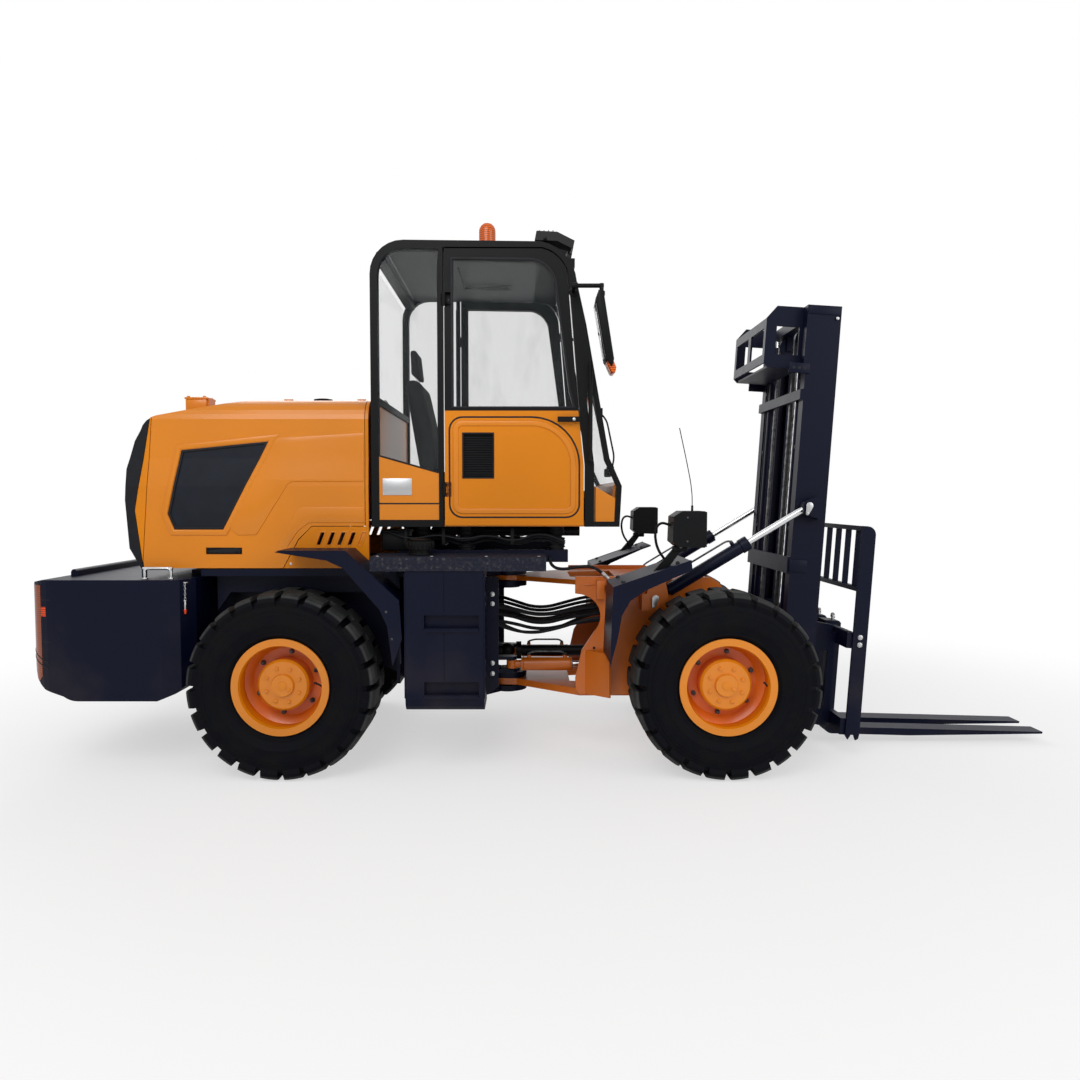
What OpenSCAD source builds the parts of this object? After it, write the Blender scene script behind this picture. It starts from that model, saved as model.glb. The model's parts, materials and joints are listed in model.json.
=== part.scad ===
/* [Wheels and axles] */
// Distance between the front and rear axles
wheelbase = 2480; // [2300:10:2700]
// Distance of the rear axle behind the middle of the machine
rear_axle_back = 1600; // [1500:10:1700]
// Radius of a tyre over its lugs
wheel_r = 525; // [500:5:540]
// Width of a tyre
tyre_w = 400; // [360:10:410]
// Distance of a tyre's middle from the machine's middle
track_y = 745; // [740:5:760]
// Radius of the tyre's body under the lugs
carcass_r = 492; // [480:2:496]
// Number of lugs along each side of a tyre
lug_count = 24; // [20:1:28]
// Radius of the hub cover
hub_r = 145; // [130:5:160]

/* [Body] */
// Length from the counterweight to the fork tips
length = 6160; // [6160:10:6400]
// Half width of the counterweight
weight_half = 800; // [760:10:840]
// Height of the counterweight's top
weight_top = 1110; // [1080:10:1140]
// Height of the counterweight's underside
weight_floor = 420; // [380:10:480]
// Height of the lower edge of the hood
hood_floor = 1165; // [1165:5:1180]
// Height of the hood at its front
hood_top = 2205; // [2150:10:2300]
// Half width of the hood at its lower edge
hood_half = 650; // [600:10:660]
// Half width of the fixed spine along the hood's top
spine_half = 300; // [260:10:340]
// Thickness of the hood and its doors
hood_wall = 24; // [15:1:30]

/* [Cab] */
// Height of the cab's lower edge
cab_floor = 1405; // [1380:5:1450]
// Height of the cab's roof
cab_top = 3035; // [2950:5:3100]
// Half width of the cab
cab_half = 660; // [620:10:670]
// Thickness of the cab's walls and doors
cab_wall = 50; // [40:5:60]

/* [Articulation] */
// Distance of the rear frame's pivot behind the machine's middle
pivot_back = 360; // [340:5:380]
// Radius of the two pivot pins
pivot_pin_r = 35; // [30:1:40]

/* [Mast] */
// Forward lean of the mast as it stands
mast_lean = 3.5; // [3:0.5:4]
// Half width over the outer rails
mast_half = 440; // [435:1:442]
// Depth of an outer rail
rail_depth = 190; // [180:2:200]
// Height of the outer rails over the mast's pivot
rail_top = 2250; // [2100:10:2300]
// Width of a fork tine
tine_w = 130; // [100:5:150]
// Thickness of a fork tine at its heel
tine_t = 45; // [40:1:50]
// Distance of a fork's middle from the machine's middle
fork_y = 125; // [90:5:360]

/* [Hidden] */
$fn = 48;

// Clearance between a pin or rod and its bore, and between pieces that move past each other
fit = 0.05;
gap = 6;

body_colour = "#e8921e";
frame_colour = "#d9741a";
navy = "#1d2233";
black = "#17181b";

rear_x = -rear_axle_back;
front_x = rear_x + wheelbase;
pivot_x = -pivot_back;
tail_x = -length / 2;
tip_x = length / 2;

// ---------------------------------------------------------------- shapes used throughout

// Points of an arc about (cx, cy)
function arc(cx, cy, r, from, to, n = 8) =
    [for (i = [0:n]) let (a = from + (to - from) * i / n) [cx + r * cos(a), cy + r * sin(a)]];

// A side outline, drawn as X and Z, given a width from y0 to y1
module across(y0, y1) {
    translate([0, y1, 0]) rotate([90, 0, 0]) linear_extrude(y1 - y0) children();
}

// A cross-section, drawn as Y and Z, given a length from x0 to x1
module along(x0, x1) {
    translate([x0, 0, 0]) rotate([90, 0, 90]) linear_extrude(x1 - x0) children();
}

// A plan outline, drawn as X and Y, given a height from z0 to z1
module upright(z0, z1) {
    translate([0, 0, z0]) linear_extrude(z1 - z0) children();
}

module block(x0, x1, y0, y1, z0, z1) {
    translate([x0, y0, z0]) cube([x1 - x0, y1 - y0, z1 - z0]);
}

module rod_x(r, x0, x1, y, z) {
    translate([x0, y, z]) rotate([0, 90, 0]) cylinder(r = r, h = x1 - x0);
}

module rod_y(r, y0, y1, x, z) {
    translate([x, y1, z]) rotate([90, 0, 0]) cylinder(r = r, h = y1 - y0);
}

module rod_z(r, z0, z1, x, y) {
    translate([x, y, z0]) cylinder(r = r, h = z1 - z0);
}

module both_sides() {
    children();
    mirror([0, 1, 0]) children();
}

// ---------------------------------------------------------------- wheels

lug_root = 430;

// One ring of lugs as a plan outline, cut from a disc
module lug_outline(turn) {
    pitch = 360 / lug_count;
    tip = pitch * 0.34;
    root = pitch * 0.42;
    polygon([for (i = [0:lug_count - 1]) let (a = turn + i * pitch)
        each [
            [lug_root * cos(a - root), lug_root * sin(a - root)],
            [(wheel_r + 8) * cos(a - tip), (wheel_r + 8) * sin(a - tip)],
            [(wheel_r + 8) * cos(a + tip), (wheel_r + 8) * sin(a + tip)],
            [lug_root * cos(a + root), lug_root * sin(a + root)]]]);
}

// Tyre about the Y axis: body of revolution, and two staggered rings of lugs
module tyre() {
    half = tyre_w / 2;
    color(black) union() {
        rotate([90, 0, 0]) rotate_extrude($fn = 72) polygon([
            [256, -156], [276, -157], [292, -178], [350, -half + 2], [410, -half], [452, -half + 8],
            [480, -half + 30], [carcass_r, -half + 75], [carcass_r, half - 75], [480, half - 30],
            [452, half - 8], [410, half], [350, half - 2], [292, 178], [276, 157], [256, 156]]);
        intersection() {
            rotate([90, 0, 0]) rotate_extrude($fn = 72) polygon([
                [440, -half + 14], [480, -half + 3], [wheel_r - 10, -half + 20],
                [wheel_r, -half + 60], [wheel_r, half - 60], [wheel_r - 10, half - 20],
                [480, half - 3], [440, half - 14]]);
            rotate([90, 0, 0]) union() {
                translate([0, 0, -half - 5]) linear_extrude(half + 15) lug_outline(0);
                translate([0, 0, -10]) linear_extrude(half + 15) lug_outline(180 / lug_count);
            }
        }
    }
}

// Rim with its disc and planetary hub about the Y axis, outer face towards -Y
module rim() {
    color(body_colour) rotate([90, 0, 0]) difference() {
        rotate_extrude($fn = 72) union() {
            polygon([[0, -160], [110, -160], [hub_r, -120], [hub_r, 96], [hub_r - 12, 108],
                [66, 108], [60, 128], [0, 128]]);
            polygon([[140, -20], [200, -20], [242, 10], [242, 34], [196, 4], [140, 4]]);
            polygon([[240, -158], [255.5, -158], [255.5, 158], [272, 158], [272, 170],
                [232, 170], [226, 150], [240, 130]]);
            translate([240, -170]) square([32, 12]);
        }
        translate([0, 0, -161]) cylinder(r = 50 + fit, h = 121);
    }
}

// Axle about the Y axis: drive housing, tapering tubes, brake flanges and wheel spindles
module axle(x, nose) {
    translate([x, 0, wheel_r]) {
        rotate([90, 0, 0]) rotate_extrude() polygon([
            [0, -700], [50, -700], [50, -575], [125, -575], [125, -540], [80, -525], [75, -300],
            [110, -240], [165, -150], [185, -60], [185, 60], [165, 150], [110, 240], [75, 300],
            [80, 525], [125, 540], [125, 575], [50, 575], [50, 700], [0, 700]]);
        if (nose > 0) rod_x(75, 100, 300, 0, 40);
        if (nose < 0) rod_x(75, -300, -100, 0, 40);
        block(-90, 90, -394, -330, 60, 100);
        block(-90, 90, 330, 394, 60, 100);
    }
}

module rear_axle() color(frame_colour) axle(rear_x, 1);
module front_axle() color(frame_colour) axle(front_x, -1);

module wheel_place(x, side) {
    translate([x, side * track_y, wheel_r]) scale_side(side) children();
}

module scale_side(side) {
    if (side < 0) children();
    else mirror([0, 1, 0]) children();
}

// ---------------------------------------------------------------- rear frame

// Two side rails, cross plates, decking, pivot lugs and the tail pins of the steering cylinders
module rear_frame() {
    color(navy) difference() {
        union() {
            both_sides() {
                across(330, 350) polygon([
                    [-2300, 650], [-1850, 625], [-1350, 625], [-1000, 480], [-620, 320], [-560, 320],
                    [-560, 1130], [-2300, 1130]]);
                block(-2080, -1000, 350, 520, 1110, 1130);
                across(500, 520) polygon([
                    [-2080, 1112], [-2080, 900], [-2000, 1010], [-1000, 1010], [-1000, 1112]]);
                block(-1000, -560, 350, 610, 1110, 1130);
                block(-620, -600, 350, 610, 480, 1112);
                block(-1000, -980, 350, 610, 480, 1112);
                // sills under the hood: high under its corner panels, lower under its doors
                block(-1640, -1152, 500, 645, 1118, hood_floor);
                block(-2128, -1640, 500, 645, 1118, hood_floor - gap);
                // beams that carry the cab over the pivot
                block(-1000, 10, 430, 520, 1190, 1262);
                block(-900, -820, 430, 520, 1128, 1192);
                block(-640, -560, 430, 520, 1128, 1192);
                block(-90, -50, 380, 432, 1190, 1230);
            }
            block(-2300, -2280, -332, 332, 650, 1130);
            block(-1400, -1380, -332, 332, 640, 1130);
            block(-580, -560, -332, 332, 320, 1130);
            block(-90, -50, -400, 400, 1190, 1230);
            both_sides() block(rear_x - 90, rear_x + 90, 330, 400, wheel_r + 100, 660);
            for (z = pivot_lugs) upright(z[0], z[1]) lug_plan();
            for (z = pivot_lugs)
                rod_z(80, z[0] - (z[2] < 0 ? 12 : 0), z[1] + (z[2] > 0 ? 12 : 0), pivot_x, 0);
            rod_z(pivot_pin_r, 305, 455, pivot_x, 0);
            rod_z(pivot_pin_r, 985, 1130, pivot_x, 0);
            both_sides() {
                upright(545 + gap, 565 + gap) tail_ear();
                upright(475 - gap, 495 - gap) tail_ear();
                rod_z(18, 470, 570, tail_pin_x, tail_pin_y);
            }
        }
        // hole where the drive shaft passes through the cross plates
        rod_x(110, -1405, -555, 0, wheel_r + 40);
    }
}

pivot_lugs = [[318, 352, -1], [405, 439, 1], [1000, 1034, -1], [1076, 1110, 1]];
tongue_low = [358, 399];
tongue_high = [1040, 1070];
tail_pin_x = -330;
tail_pin_y = 225;

// Plan of a pivot lug: wide where it leaves the frame, round about the pin
module lug_plan() {
    union() {
        polygon([[-562, -300], [pivot_x - 40, -118], [pivot_x, -125], [pivot_x, 125],
            [pivot_x - 40, 118], [-562, 300]]);
        translate([pivot_x, 0]) circle(r = 125);
    }
}

// Plan of an ear that holds a steering cylinder's tail pin
module tail_ear() {
    union() {
        polygon([[-562, tail_pin_y - 50], [tail_pin_x, tail_pin_y - 34],
            [tail_pin_x, tail_pin_y + 34], [-562, tail_pin_y + 60]]);
        translate([tail_pin_x, tail_pin_y]) circle(r = 34);
    }
}

// Side outline of the counterweight: swept-under tail and a raked front corner
module weight_outline() {
    polygon([
        [tail_x + 110, weight_top], [tail_x + 14, weight_top - 20],
        [tail_x + 4, weight_top - 300], each arc(tail_x + 260, 700, 260, 180, 236, 6),
        each arc(tail_x + 300, weight_floor + 130, 130, 232, 270, 4),
        [-2330, weight_floor], [-2230, weight_floor + 40], [-2140, weight_floor + 120],
        [-2140, weight_top - 8], [-2150, weight_top]]);
}

// Plan outline of the counterweight: rounded rear corners, front corners that draw in
module weight_plan() {
    polygon([
        each arc(tail_x + 170, -weight_half + 170, 170, 180, 270, 8),
        [-2300, -weight_half], [-2200, -weight_half + 25], [-2130, -weight_half + 120],
        [-2130, weight_half - 120], [-2200, weight_half - 25], [-2300, weight_half],
        each arc(tail_x + 170, weight_half - 170, 170, 90, 180, 8)]);
}

module counterweight() {
    color(navy) difference() {
        intersection() {
            across(-weight_half, weight_half) weight_outline();
            upright(weight_floor - 10, weight_top + 10) weight_plan();
        }
        // the frame's rails end in a pocket of the casting
        block(-2300, -2100, -350, 350, 638, weight_top + 10);
        // recess for each corner lamp
        both_sides() lamp_form(1);
        // tow pin's hole and the slot it crosses
        block(tail_x - 10, tail_x + 150, -90, 90, 600, 690);
        rod_z(19, 520, weight_top + 20, tail_x + 85, 0);
    }
    // raised lip along the rear edge, and the two lifting bars
    color(navy) block(tail_x + 150, tail_x + 185, -560, 560, weight_top - 5, weight_top + 26);
    // pads that the rear grille stands on
    color(navy) both_sides() block(-2472, -2460, 600, 645, weight_top - 5, hood_floor - 1);
    color("silver") both_sides() {
        for (x = [-2420, -2270]) rod_z(9, weight_top - 5, weight_top + 60, x, 720);
        rod_x(9, -2429, -2261, 720, weight_top + 60);
    }
}

// Upright lamp that wraps a rear corner of the counterweight
module lamp_form(grow) {
    intersection() {
        across(weight_half - 175, weight_half + 1) polygon([
            [tail_x - 5, weight_top - 30 + grow], [tail_x + 96 + grow, weight_top - 30 + grow],
            [tail_x + 96 + grow, 560], [tail_x + 60, 520 - grow], [tail_x - 5, 700]]);
        difference() {
            upright(400, weight_top) translate([tail_x + 170, weight_half - 170]) circle(r = 171);
            upright(390, weight_top + 1) translate([tail_x + 170, weight_half - 170])
                circle(r = 130 - grow);
        }
    }
}

module rear_lamps() {
    color("#b5501c") both_sides() intersection() {
        lamp_form(0);
        across(0, weight_half) weight_outline();
    }
}

module engine() {
    color("#3a3c40") union() {
        block(-2260, -1410, -260, 260, 780, 1080);
        // feet on the frame's rails
        for (x = [-2150, -1560]) block(x, x + 90, -330, 330, 800, 840);
        block(-2200, -1450, -230, 230, 1080, 1640);
        block(-2430, -2300, -300, 300, 1170, 1760);
        block(-2302, -2190, -120, 120, 1180, 1400);
    }
}

// Drive shaft from the rear axle to the ball of its joint at the pivot
module rear_shaft() {
    color(black) union() {
        rod_x(35, rear_x + 300, pivot_x - 30, 0, wheel_r + 40);
        rod_x(58, rear_x + 300, rear_x + 330, 0, wheel_r + 40);
        translate([pivot_x, 0, wheel_r + 40]) sphere(r = 48);
    }
}

module front_shaft() {
    color(black) union() {
        rod_x(35, pivot_x + 60, front_x - 300, 0, wheel_r + 40);
        rod_x(58, pivot_x + 56, pivot_x + 90, 0, wheel_r + 40);
        rod_x(58, front_x - 330, front_x - 300, 0, wheel_r + 40);
    }
}

// ---------------------------------------------------------------- hood

hood_tail = -2560;
hood_nose = -1150;

// Side outline of the hood: low crown towards the front, leaning tail
module hood_outline(inset = 0) {
    polygon([
        [hood_tail + 85 + inset, hood_floor - (inset > 0 ? 1 : 0)], [hood_tail + 20 + inset, 1280],
        [hood_tail + inset, 1560], [hood_tail + 10 + inset, 1740], [hood_tail + 60 + inset, 1900],
        each arc(hood_tail + 210, 1930, 120 - inset, 165, 100, 4),
        [-2000, 2120 - inset], [-1700, 2168 - inset], [-1400, 2195 - inset],
        [hood_nose + 1, hood_top - inset], [hood_nose + 1, hood_floor - (inset > 0 ? 1 : 0)]]);
}

// Cross-section of the hood: sides that lean in a little, and rounded shoulders
module hood_section(inset = 0) {
    half = hood_half - inset;
    polygon([
        [-half, hood_floor - 5], [-half, 1640], [-half + 12, 1800],
        each arc(-half + 142, hood_top - 190 - inset, 130, 175, 100, 6),
        [-spine_half, hood_top - 40 - inset], [0, hood_top + 4 - inset], [spine_half, hood_top - 40 - inset],
        each arc(half - 142, hood_top - 190 - inset, 130, 80, 5, 6),
        [half - 12, 1800], [half, 1640], [half, hood_floor - 5]]);
}

module hood_solid(inset = 0) {
    intersection() {
        across(-700, 700) hood_outline(inset);
        along(hood_tail - 10, hood_nose) hood_section(inset);
    }
}

module hood_skin() {
    difference() {
        hood_solid();
        hood_solid(hood_wall);
        block(hood_nose - hood_wall - 60, hood_nose + 10, -560, 560, hood_floor - 10, 2120);
    }
}

// Side outline of a hood door, which stops above the fixed corner panel
module door_outline(grow = 0) {
    polygon([
        [grille_low + 8 - grow, hood_floor - 10], [-1655 + grow, hood_floor - 10],
        [-1560 + grow, 1332 - grow], [-1480, 1410 - grow], [hood_nose - 22 + grow, 1410 - grow],
        [hood_nose - 22 + grow, 2300], [-2395 - grow, 2300], [-2395 - grow, 2060]]);
}

grille_low = -2470;

// Axis of the hood doors, and the middles of their hinges
hood_axis = [spine_half + 2, hood_top - 37];
hood_hinges = [-1700, -1250];

// Fixed part of the hood: spine, front hoop and the slotted corner panels
module hood_shell() {
    color(body_colour) difference() {
        hood_skin();
        both_sides() for (x = hood_hinges)
            rod_x(12, x - 13, x + 13, hood_axis[0], hood_axis[1]);
        both_sides() across(spine_half - 4, 720) door_outline(4);
        tail_cut(0);
        both_sides() for (i = [0:4]) slot(-1455 + i * 60);
    }
    // outer knuckles and pins of the hood's hinges
    color(body_colour) both_sides() for (x = hood_hinges) {
        for (end = [x - 26, x + 13]) {
            rod_x(10, end, end + 13, hood_axis[0], hood_axis[1]);
            block(end, end + 13, spine_half - 20, spine_half, hood_axis[1] - 12, hood_axis[1] - 2);
        }
        rod_x(5, x - 26, x + 26, hood_axis[0], hood_axis[1]);
    }
    // exhaust cap and the box round the filler on the spine
    color(body_colour) block(-2385, -2250, -150, -40, 2080, 2205);
    color(black) rod_z(60, 2130, 2210, -1560, 0);
}

// One slanted slot of a corner panel
module slot(x) {
    across(560, 700) polygon([[x, 1300], [x + 22, 1300], [x + 50, 1372], [x + 28, 1372]]);
}

// Everything behind the raked joint line of the rear grille
module tail_cut(grow) {
    across(-720, 720) polygon([
        [hood_tail - 40, hood_floor - 20], [grille_low + 15 + grow, hood_floor - 20],
        [grille_low - 30 + grow, 1500], [-2400 + grow, 2066], [-2440 + grow, 2300],
        [hood_tail - 40, 2300]]);
}

module rear_grille() {
    color(black) difference() {
        intersection() {
            hood_solid(2);
            tail_cut(-4);
        }
        across(-560, 560) polygon([
            [hood_tail + 50, hood_floor - 20], [-2400, hood_floor - 20], [-2400, 1980],
            [hood_tail + 110, 1900], [hood_tail + 50, 1600]]);
        for (row = [0:6], side = [-1, 1])
            block(hood_tail - 20, hood_tail + 120, side * 250 - 200, side * 250 + 200,
                1260 + row * 82, 1300 + row * 82);
    }
}

module hood_door() {
    color(body_colour) difference() {
        intersection() {
            hood_skin();
            across(spine_half + 2, 720) door_outline();
        }
        tail_cut(4);
        across(540, 720) vent_outline(0);
        // recess for the latch handle
        block(-2095, -1885, hood_half - 10, hood_half + 5, 1245, 1285);
        for (x = hood_hinges) rod_x(12, x - 27, x + 27, hood_axis[0], hood_axis[1]);
    }
    // middle knuckles
    color(body_colour) for (x = hood_hinges) difference() {
        union() {
            rod_x(10, x - 12, x + 12, hood_axis[0], hood_axis[1]);
            block(x - 12, x + 12, hood_axis[0] + 4, hood_axis[0] + 28,
                hood_axis[1] - 12, hood_axis[1] - 2);
        }
        rod_x(5 + fit, x - 13, x + 13, hood_axis[0], hood_axis[1]);
    }
}

// Raked six-sided opening in a hood door
module vent_outline(inset) {
    polygon([
        [-2225 + inset, 1842 - inset], [-1735 - inset * 1.4, 1892 - inset],
        [-1995 - inset * 0.4, 1395 + inset], [-2270 + inset, 1395 + inset], [-2305 + inset, 1480]]);
}

module hood_vent() {
    color(black) intersection() {
        difference() {
            hood_solid(6);
            hood_solid(18);
        }
        across(540, 720) vent_outline(1);
    }
}

// ---------------------------------------------------------------- tanks, decks and fenders

// Tank with a rounded lower edge and its two step treads, outer face towards -Y
module tank() {
    color(navy) difference() {
        along(-905, -470) polygon([
            [-620, 1168], [-620, 392], each arc(-860, 462, 70, 270, 180, 5), [-930, 1168]]);
        // joint between the two halves of the box, and pockets behind the treads
        block(-692, -686, -940, -926, 380, 1180);
        block(-800, -500, -940, -890, 850, 930);
        block(-800, -500, -940, -890, 480, 560);
    }
    color(navy) {
        block(-800, -500, -945, -885, 838, 850);
        block(-800, -500, -945, -885, 468, 480);
        // bracket plate in front of the tank, and the hanger behind it
        across(-648, -628) polygon([
            [-472, 1112], [-472, 420], [-400, 470], [-400, 1112]]);
        block(-615, -475, -632, -610, 500, 1110);
    }
}

// Walkway over each tank, with a turned-down edge and the tank's filler cap
module decks() {
    color(navy) both_sides() {
        block(-1095, -130, -935, -600, 1232, 1250);
        block(-1095, -130, -935, -917, 1172, 1232);
        block(-148, -130, -917, -600, 1172, 1232);
        block(-1000, -560, -617, -600, 1130, 1232);
        block(-880, -500, -900, -640, 1168, 1232);
    }
    color(black) both_sides() {
        rod_z(58, 1250, 1285, -840, -760);
        rod_z(78, 1285, 1330, -840, -760);
    }
}

// Rear fender: bent plate over the wheel with a deep outer flange that runs out to a point
module rear_fenders() {
    color(navy) both_sides() {
        across(-925, -656) polygon([
            [-1600, 1272], [-1232, 1272], [-948, 1004], [-934, 660], [-926, 660], [-938, 1010],
            [-1228, 1284], [-1600, 1284]]);
        across(-943, -925) polygon([
            [-1610, 1276], [-1575, 1286], [-1226, 1286], [-934, 1012], [-920, 800], [-972, 650],
            [-1000, 870], [-1040, 960], [-1240, 1190], [-1330, 1232]]);
        // bracket from the frame's cross plate
        block(-980, -940, -700, -590, 860, 900);
    }
}

// ---------------------------------------------------------------- cab

post_x = -715;          // rear edge of the doors
door_nose = 92;         // front edge of the doors at the sill
cab_tail = -1130;

// Side outline of the cab's door, with its leaning front edge
module door_side(inset = 0) {
    polygon([
        [post_x + 8 + inset, cab_floor + 8 + inset], [door_nose - inset, cab_floor + 8 + inset],
        [door_nose - inset, 1760], [52 - inset, 2150],
        each arc(-190, 2800, 190 - inset, 12, 78, 6),
        [post_x + 8 + inset, cab_top - 48 - inset]]);
}

module door_window() {
    polygon([
        [post_x + 58, 2096], [door_nose - 62, 2096], [6, 2180],
        each arc(-225, 2770, 150, 14, 80, 5), [post_x + 58, 2925]]);
}

module door_panel_recess() {
    polygon([
        each arc(post_x + 110, cab_floor + 130, 80, 180, 270, 5),
        each arc(door_nose - 100, cab_floor + 130, 80, 270, 360, 5),
        each arc(door_nose - 300, 1760, 280, 0, 90, 8),
        each arc(post_x + 110, 1960, 80, 90, 180, 5)]);
}

louvre_x = [-600, -430];
louvre_z = [1690, 1940];

// Door, outer face towards -Y
module cab_door() {
    color(body_colour) difference() {
        across(-cab_half, -cab_half + cab_wall) door_side();
        across(-cab_half - 1, -cab_half + cab_wall + 1) door_window();
        // pressed outline round the lower panel, and the louvre's opening
        across(-cab_half - 1, -cab_half + 7) difference() {
            door_panel_recess();
            offset_recess();
        }
        block(louvre_x[0], louvre_x[1], -cab_half - 1, -cab_half + 20, louvre_z[0], louvre_z[1]);
        // room for the hinge leaves
        for (z = hinge_z) block(post_x, post_x + 46, -cab_half - 1, -cab_half + 34, z - 42, z + 42);
    }
    color(black) {
        for (i = [0:8]) translate([0, -cab_half + 20, louvre_z[0] + 14 + i * 27])
            rotate([-30, 0, 0]) translate([louvre_x[0], -15, 0])
                cube([louvre_x[1] - louvre_x[0], 18, 4]);
        block(louvre_x[0], louvre_x[1], -cab_half + 12, -cab_half + 20, louvre_z[0], louvre_z[1]);
        // outer handle
        block(10, 60, -cab_half - 22, -cab_half, 2010, 2030);
        block(-60, 70, -cab_half - 34, -cab_half - 22, 2005, 2035);
    }
    // hinge leaves with their knuckles
    color(black) for (z = hinge_z) difference() {
        union() {
            block(post_x + 6, post_x + 46, -cab_half + 22, -cab_half + 34, z - 18, z + 18);
            rod_z(13, z - 18, z + 18, hinge_x, hinge_y);
            block(hinge_x, post_x + 20, -cab_half + 6, -cab_half + 30, z - 18, z + 18);
        }
        rod_z(8 + fit, z - 19, z + 19, hinge_x, hinge_y);
    }
}

hinge_z = [1620, 2700];
hinge_x = post_x + 4;
hinge_y = -cab_half + 4;

module offset_recess() {
    polygon([
        each arc(post_x + 110, cab_floor + 130, 70, 180, 270, 5),
        each arc(door_nose - 100, cab_floor + 130, 70, 270, 360, 5),
        each arc(door_nose - 300, 1760, 270, 0, 90, 8),
        each arc(post_x + 110, 1960, 70, 90, 180, 5)]);
}

module door_glass() {
    color([0.2, 0.25, 0.28, 0.5]) across(-cab_half + 18, -cab_half + 24) door_window();
}

// Side outline of the whole cab: round rear top corner, arched front, low nose
module cab_side(inset = 0) {
    polygon([
        [cab_tail + inset, cab_floor + inset], [300 - inset, cab_floor + inset],
        [312 - inset, 1640], [240 - inset, 1800], [104 - inset, 2560],
        each arc(-200, 2780, 250 - inset, 5, 80, 7),
        each arc(cab_tail + 190, cab_top - 190, 190 - inset, 90, 180, 7)]);
}

// Tubular frame: side hoops, door posts, sills and cross bars
module cab_frame() {
    color(black) both_sides() difference() {
        across(-cab_half, -cab_half + cab_wall) difference() {
            cab_side();
            // opening behind the post
            polygon([
                [cab_tail + 44, cab_floor + 40], [post_x - 26, cab_floor + 40],
                [post_x - 26, cab_top - 46],
                each arc(cab_tail + 190, cab_top - 192, 146, 90, 180, 6)]);
            // doorway
            door_side(-8);
            // opening of the nose's side
            polygon([[door_nose + 60, cab_floor + 30], [270, cab_floor + 30], [282, 1640],
                [212, 1790], [135, 2200], [105, 2160], [door_nose + 60, 1762]]);
        }
        // room for the door's hinge knuckles
        for (z = hinge_z) rod_z(15, z - 18.5, z + 18.5, hinge_x, hinge_y);
    }
    // post hinges
    color(black) both_sides() for (z = hinge_z) {
        for (s = [-1, 1]) {
            rod_z(13, min(z + s * 18.5, z + s * 34), max(z + s * 18.5, z + s * 34), hinge_x, hinge_y);
            block(post_x - 26, hinge_x, -cab_half, -cab_half + 14,
                min(z + s * 18.5, z + s * 34), max(z + s * 18.5, z + s * 34));
        }
        rod_z(8, z - 34, z + 34, hinge_x, hinge_y);
    }
    // cross bars that join the two sides
    color(black) for (bar = [[cab_tail, cab_tail + 44, cab_floor, cab_floor + 40],
            [250, 298, cab_floor, cab_floor + 30], [cab_tail + 2, cab_tail + 42, 2110, 2150],
            [-20, 40, 2895, 2945], [cab_tail + 30, cab_tail + 90, 2920, 2980]])
        block(bar[0], bar[1], -cab_half + cab_wall, cab_half - cab_wall, bar[2], bar[3]);
    // handrail on each front post
    color(black) both_sides() {
        for (z = [1790, 2330]) rod_y(9, -cab_half - 60, -cab_half, 125, z);
        rod_z(12, 1780, 2340, 125, -cab_half - 60);
    }
}

// Painted lower walls: the quarter panels, the rear wall and the nose
module cab_panels() {
    color(body_colour) union() {
        both_sides() across(-cab_half + 4, -cab_half + 34) polygon([
            [cab_tail + 44.5, cab_floor + 40.5], [post_x - 26.5, cab_floor + 40.5],
            [post_x - 26.5, 1716], [cab_tail + 44.5, 1812]]);
        block(cab_tail + 2, cab_tail + 32, -cab_half + cab_wall + 0.5, cab_half - cab_wall - 0.5,
            cab_floor + 40.5, 2109);
        block(cab_tail + 45, 249, -cab_half + cab_wall + 0.5, cab_half - cab_wall - 0.5,
            cab_floor, cab_floor + 38);
        both_sides() across(-cab_half + 4, -cab_half + 34) polygon([
            [door_nose + 60.5, cab_floor + 30.5], [269.5, cab_floor + 30.5], [275, 1570],
            [door_nose + 60.5, 1640]]);
        difference() {
            across(-cab_half + cab_wall + 0.5, cab_half - cab_wall - 0.5) polygon([
                [252, cab_floor + 30.5], [298, cab_floor + 30.5], [310, 1640], [296, 1668],
                [266, 1640]]);
            block(240, 290, -300, 300, cab_floor + 60, 1600);
        }
    }
}

beacon_x = -470;
beacon_y = -450;

module cab_roof() {
    color(black) difference() {
        union() {
            across(-cab_half + cab_wall + 0.5, cab_half - cab_wall - 0.5) polygon([
                [cab_tail + 90.5, cab_top - 54], [cab_tail + 90.5, cab_top - 24],
                [cab_tail + 170, cab_top - 2], [-160, cab_top - 4], [0, 2985], [-26, 2950],
                [-180, cab_top - 54]]);
            block(-700, -300, -330, 330, cab_top - 5, cab_top + 22);
            // pad under the beacon
            block(beacon_x - 75, beacon_x + 75, beacon_y - 75, beacon_y + 75, cab_top - 5, cab_top + 22);
        }
        block(-660, -340, -290, 290, cab_top - 80, cab_top - 20);
    }
}

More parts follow.
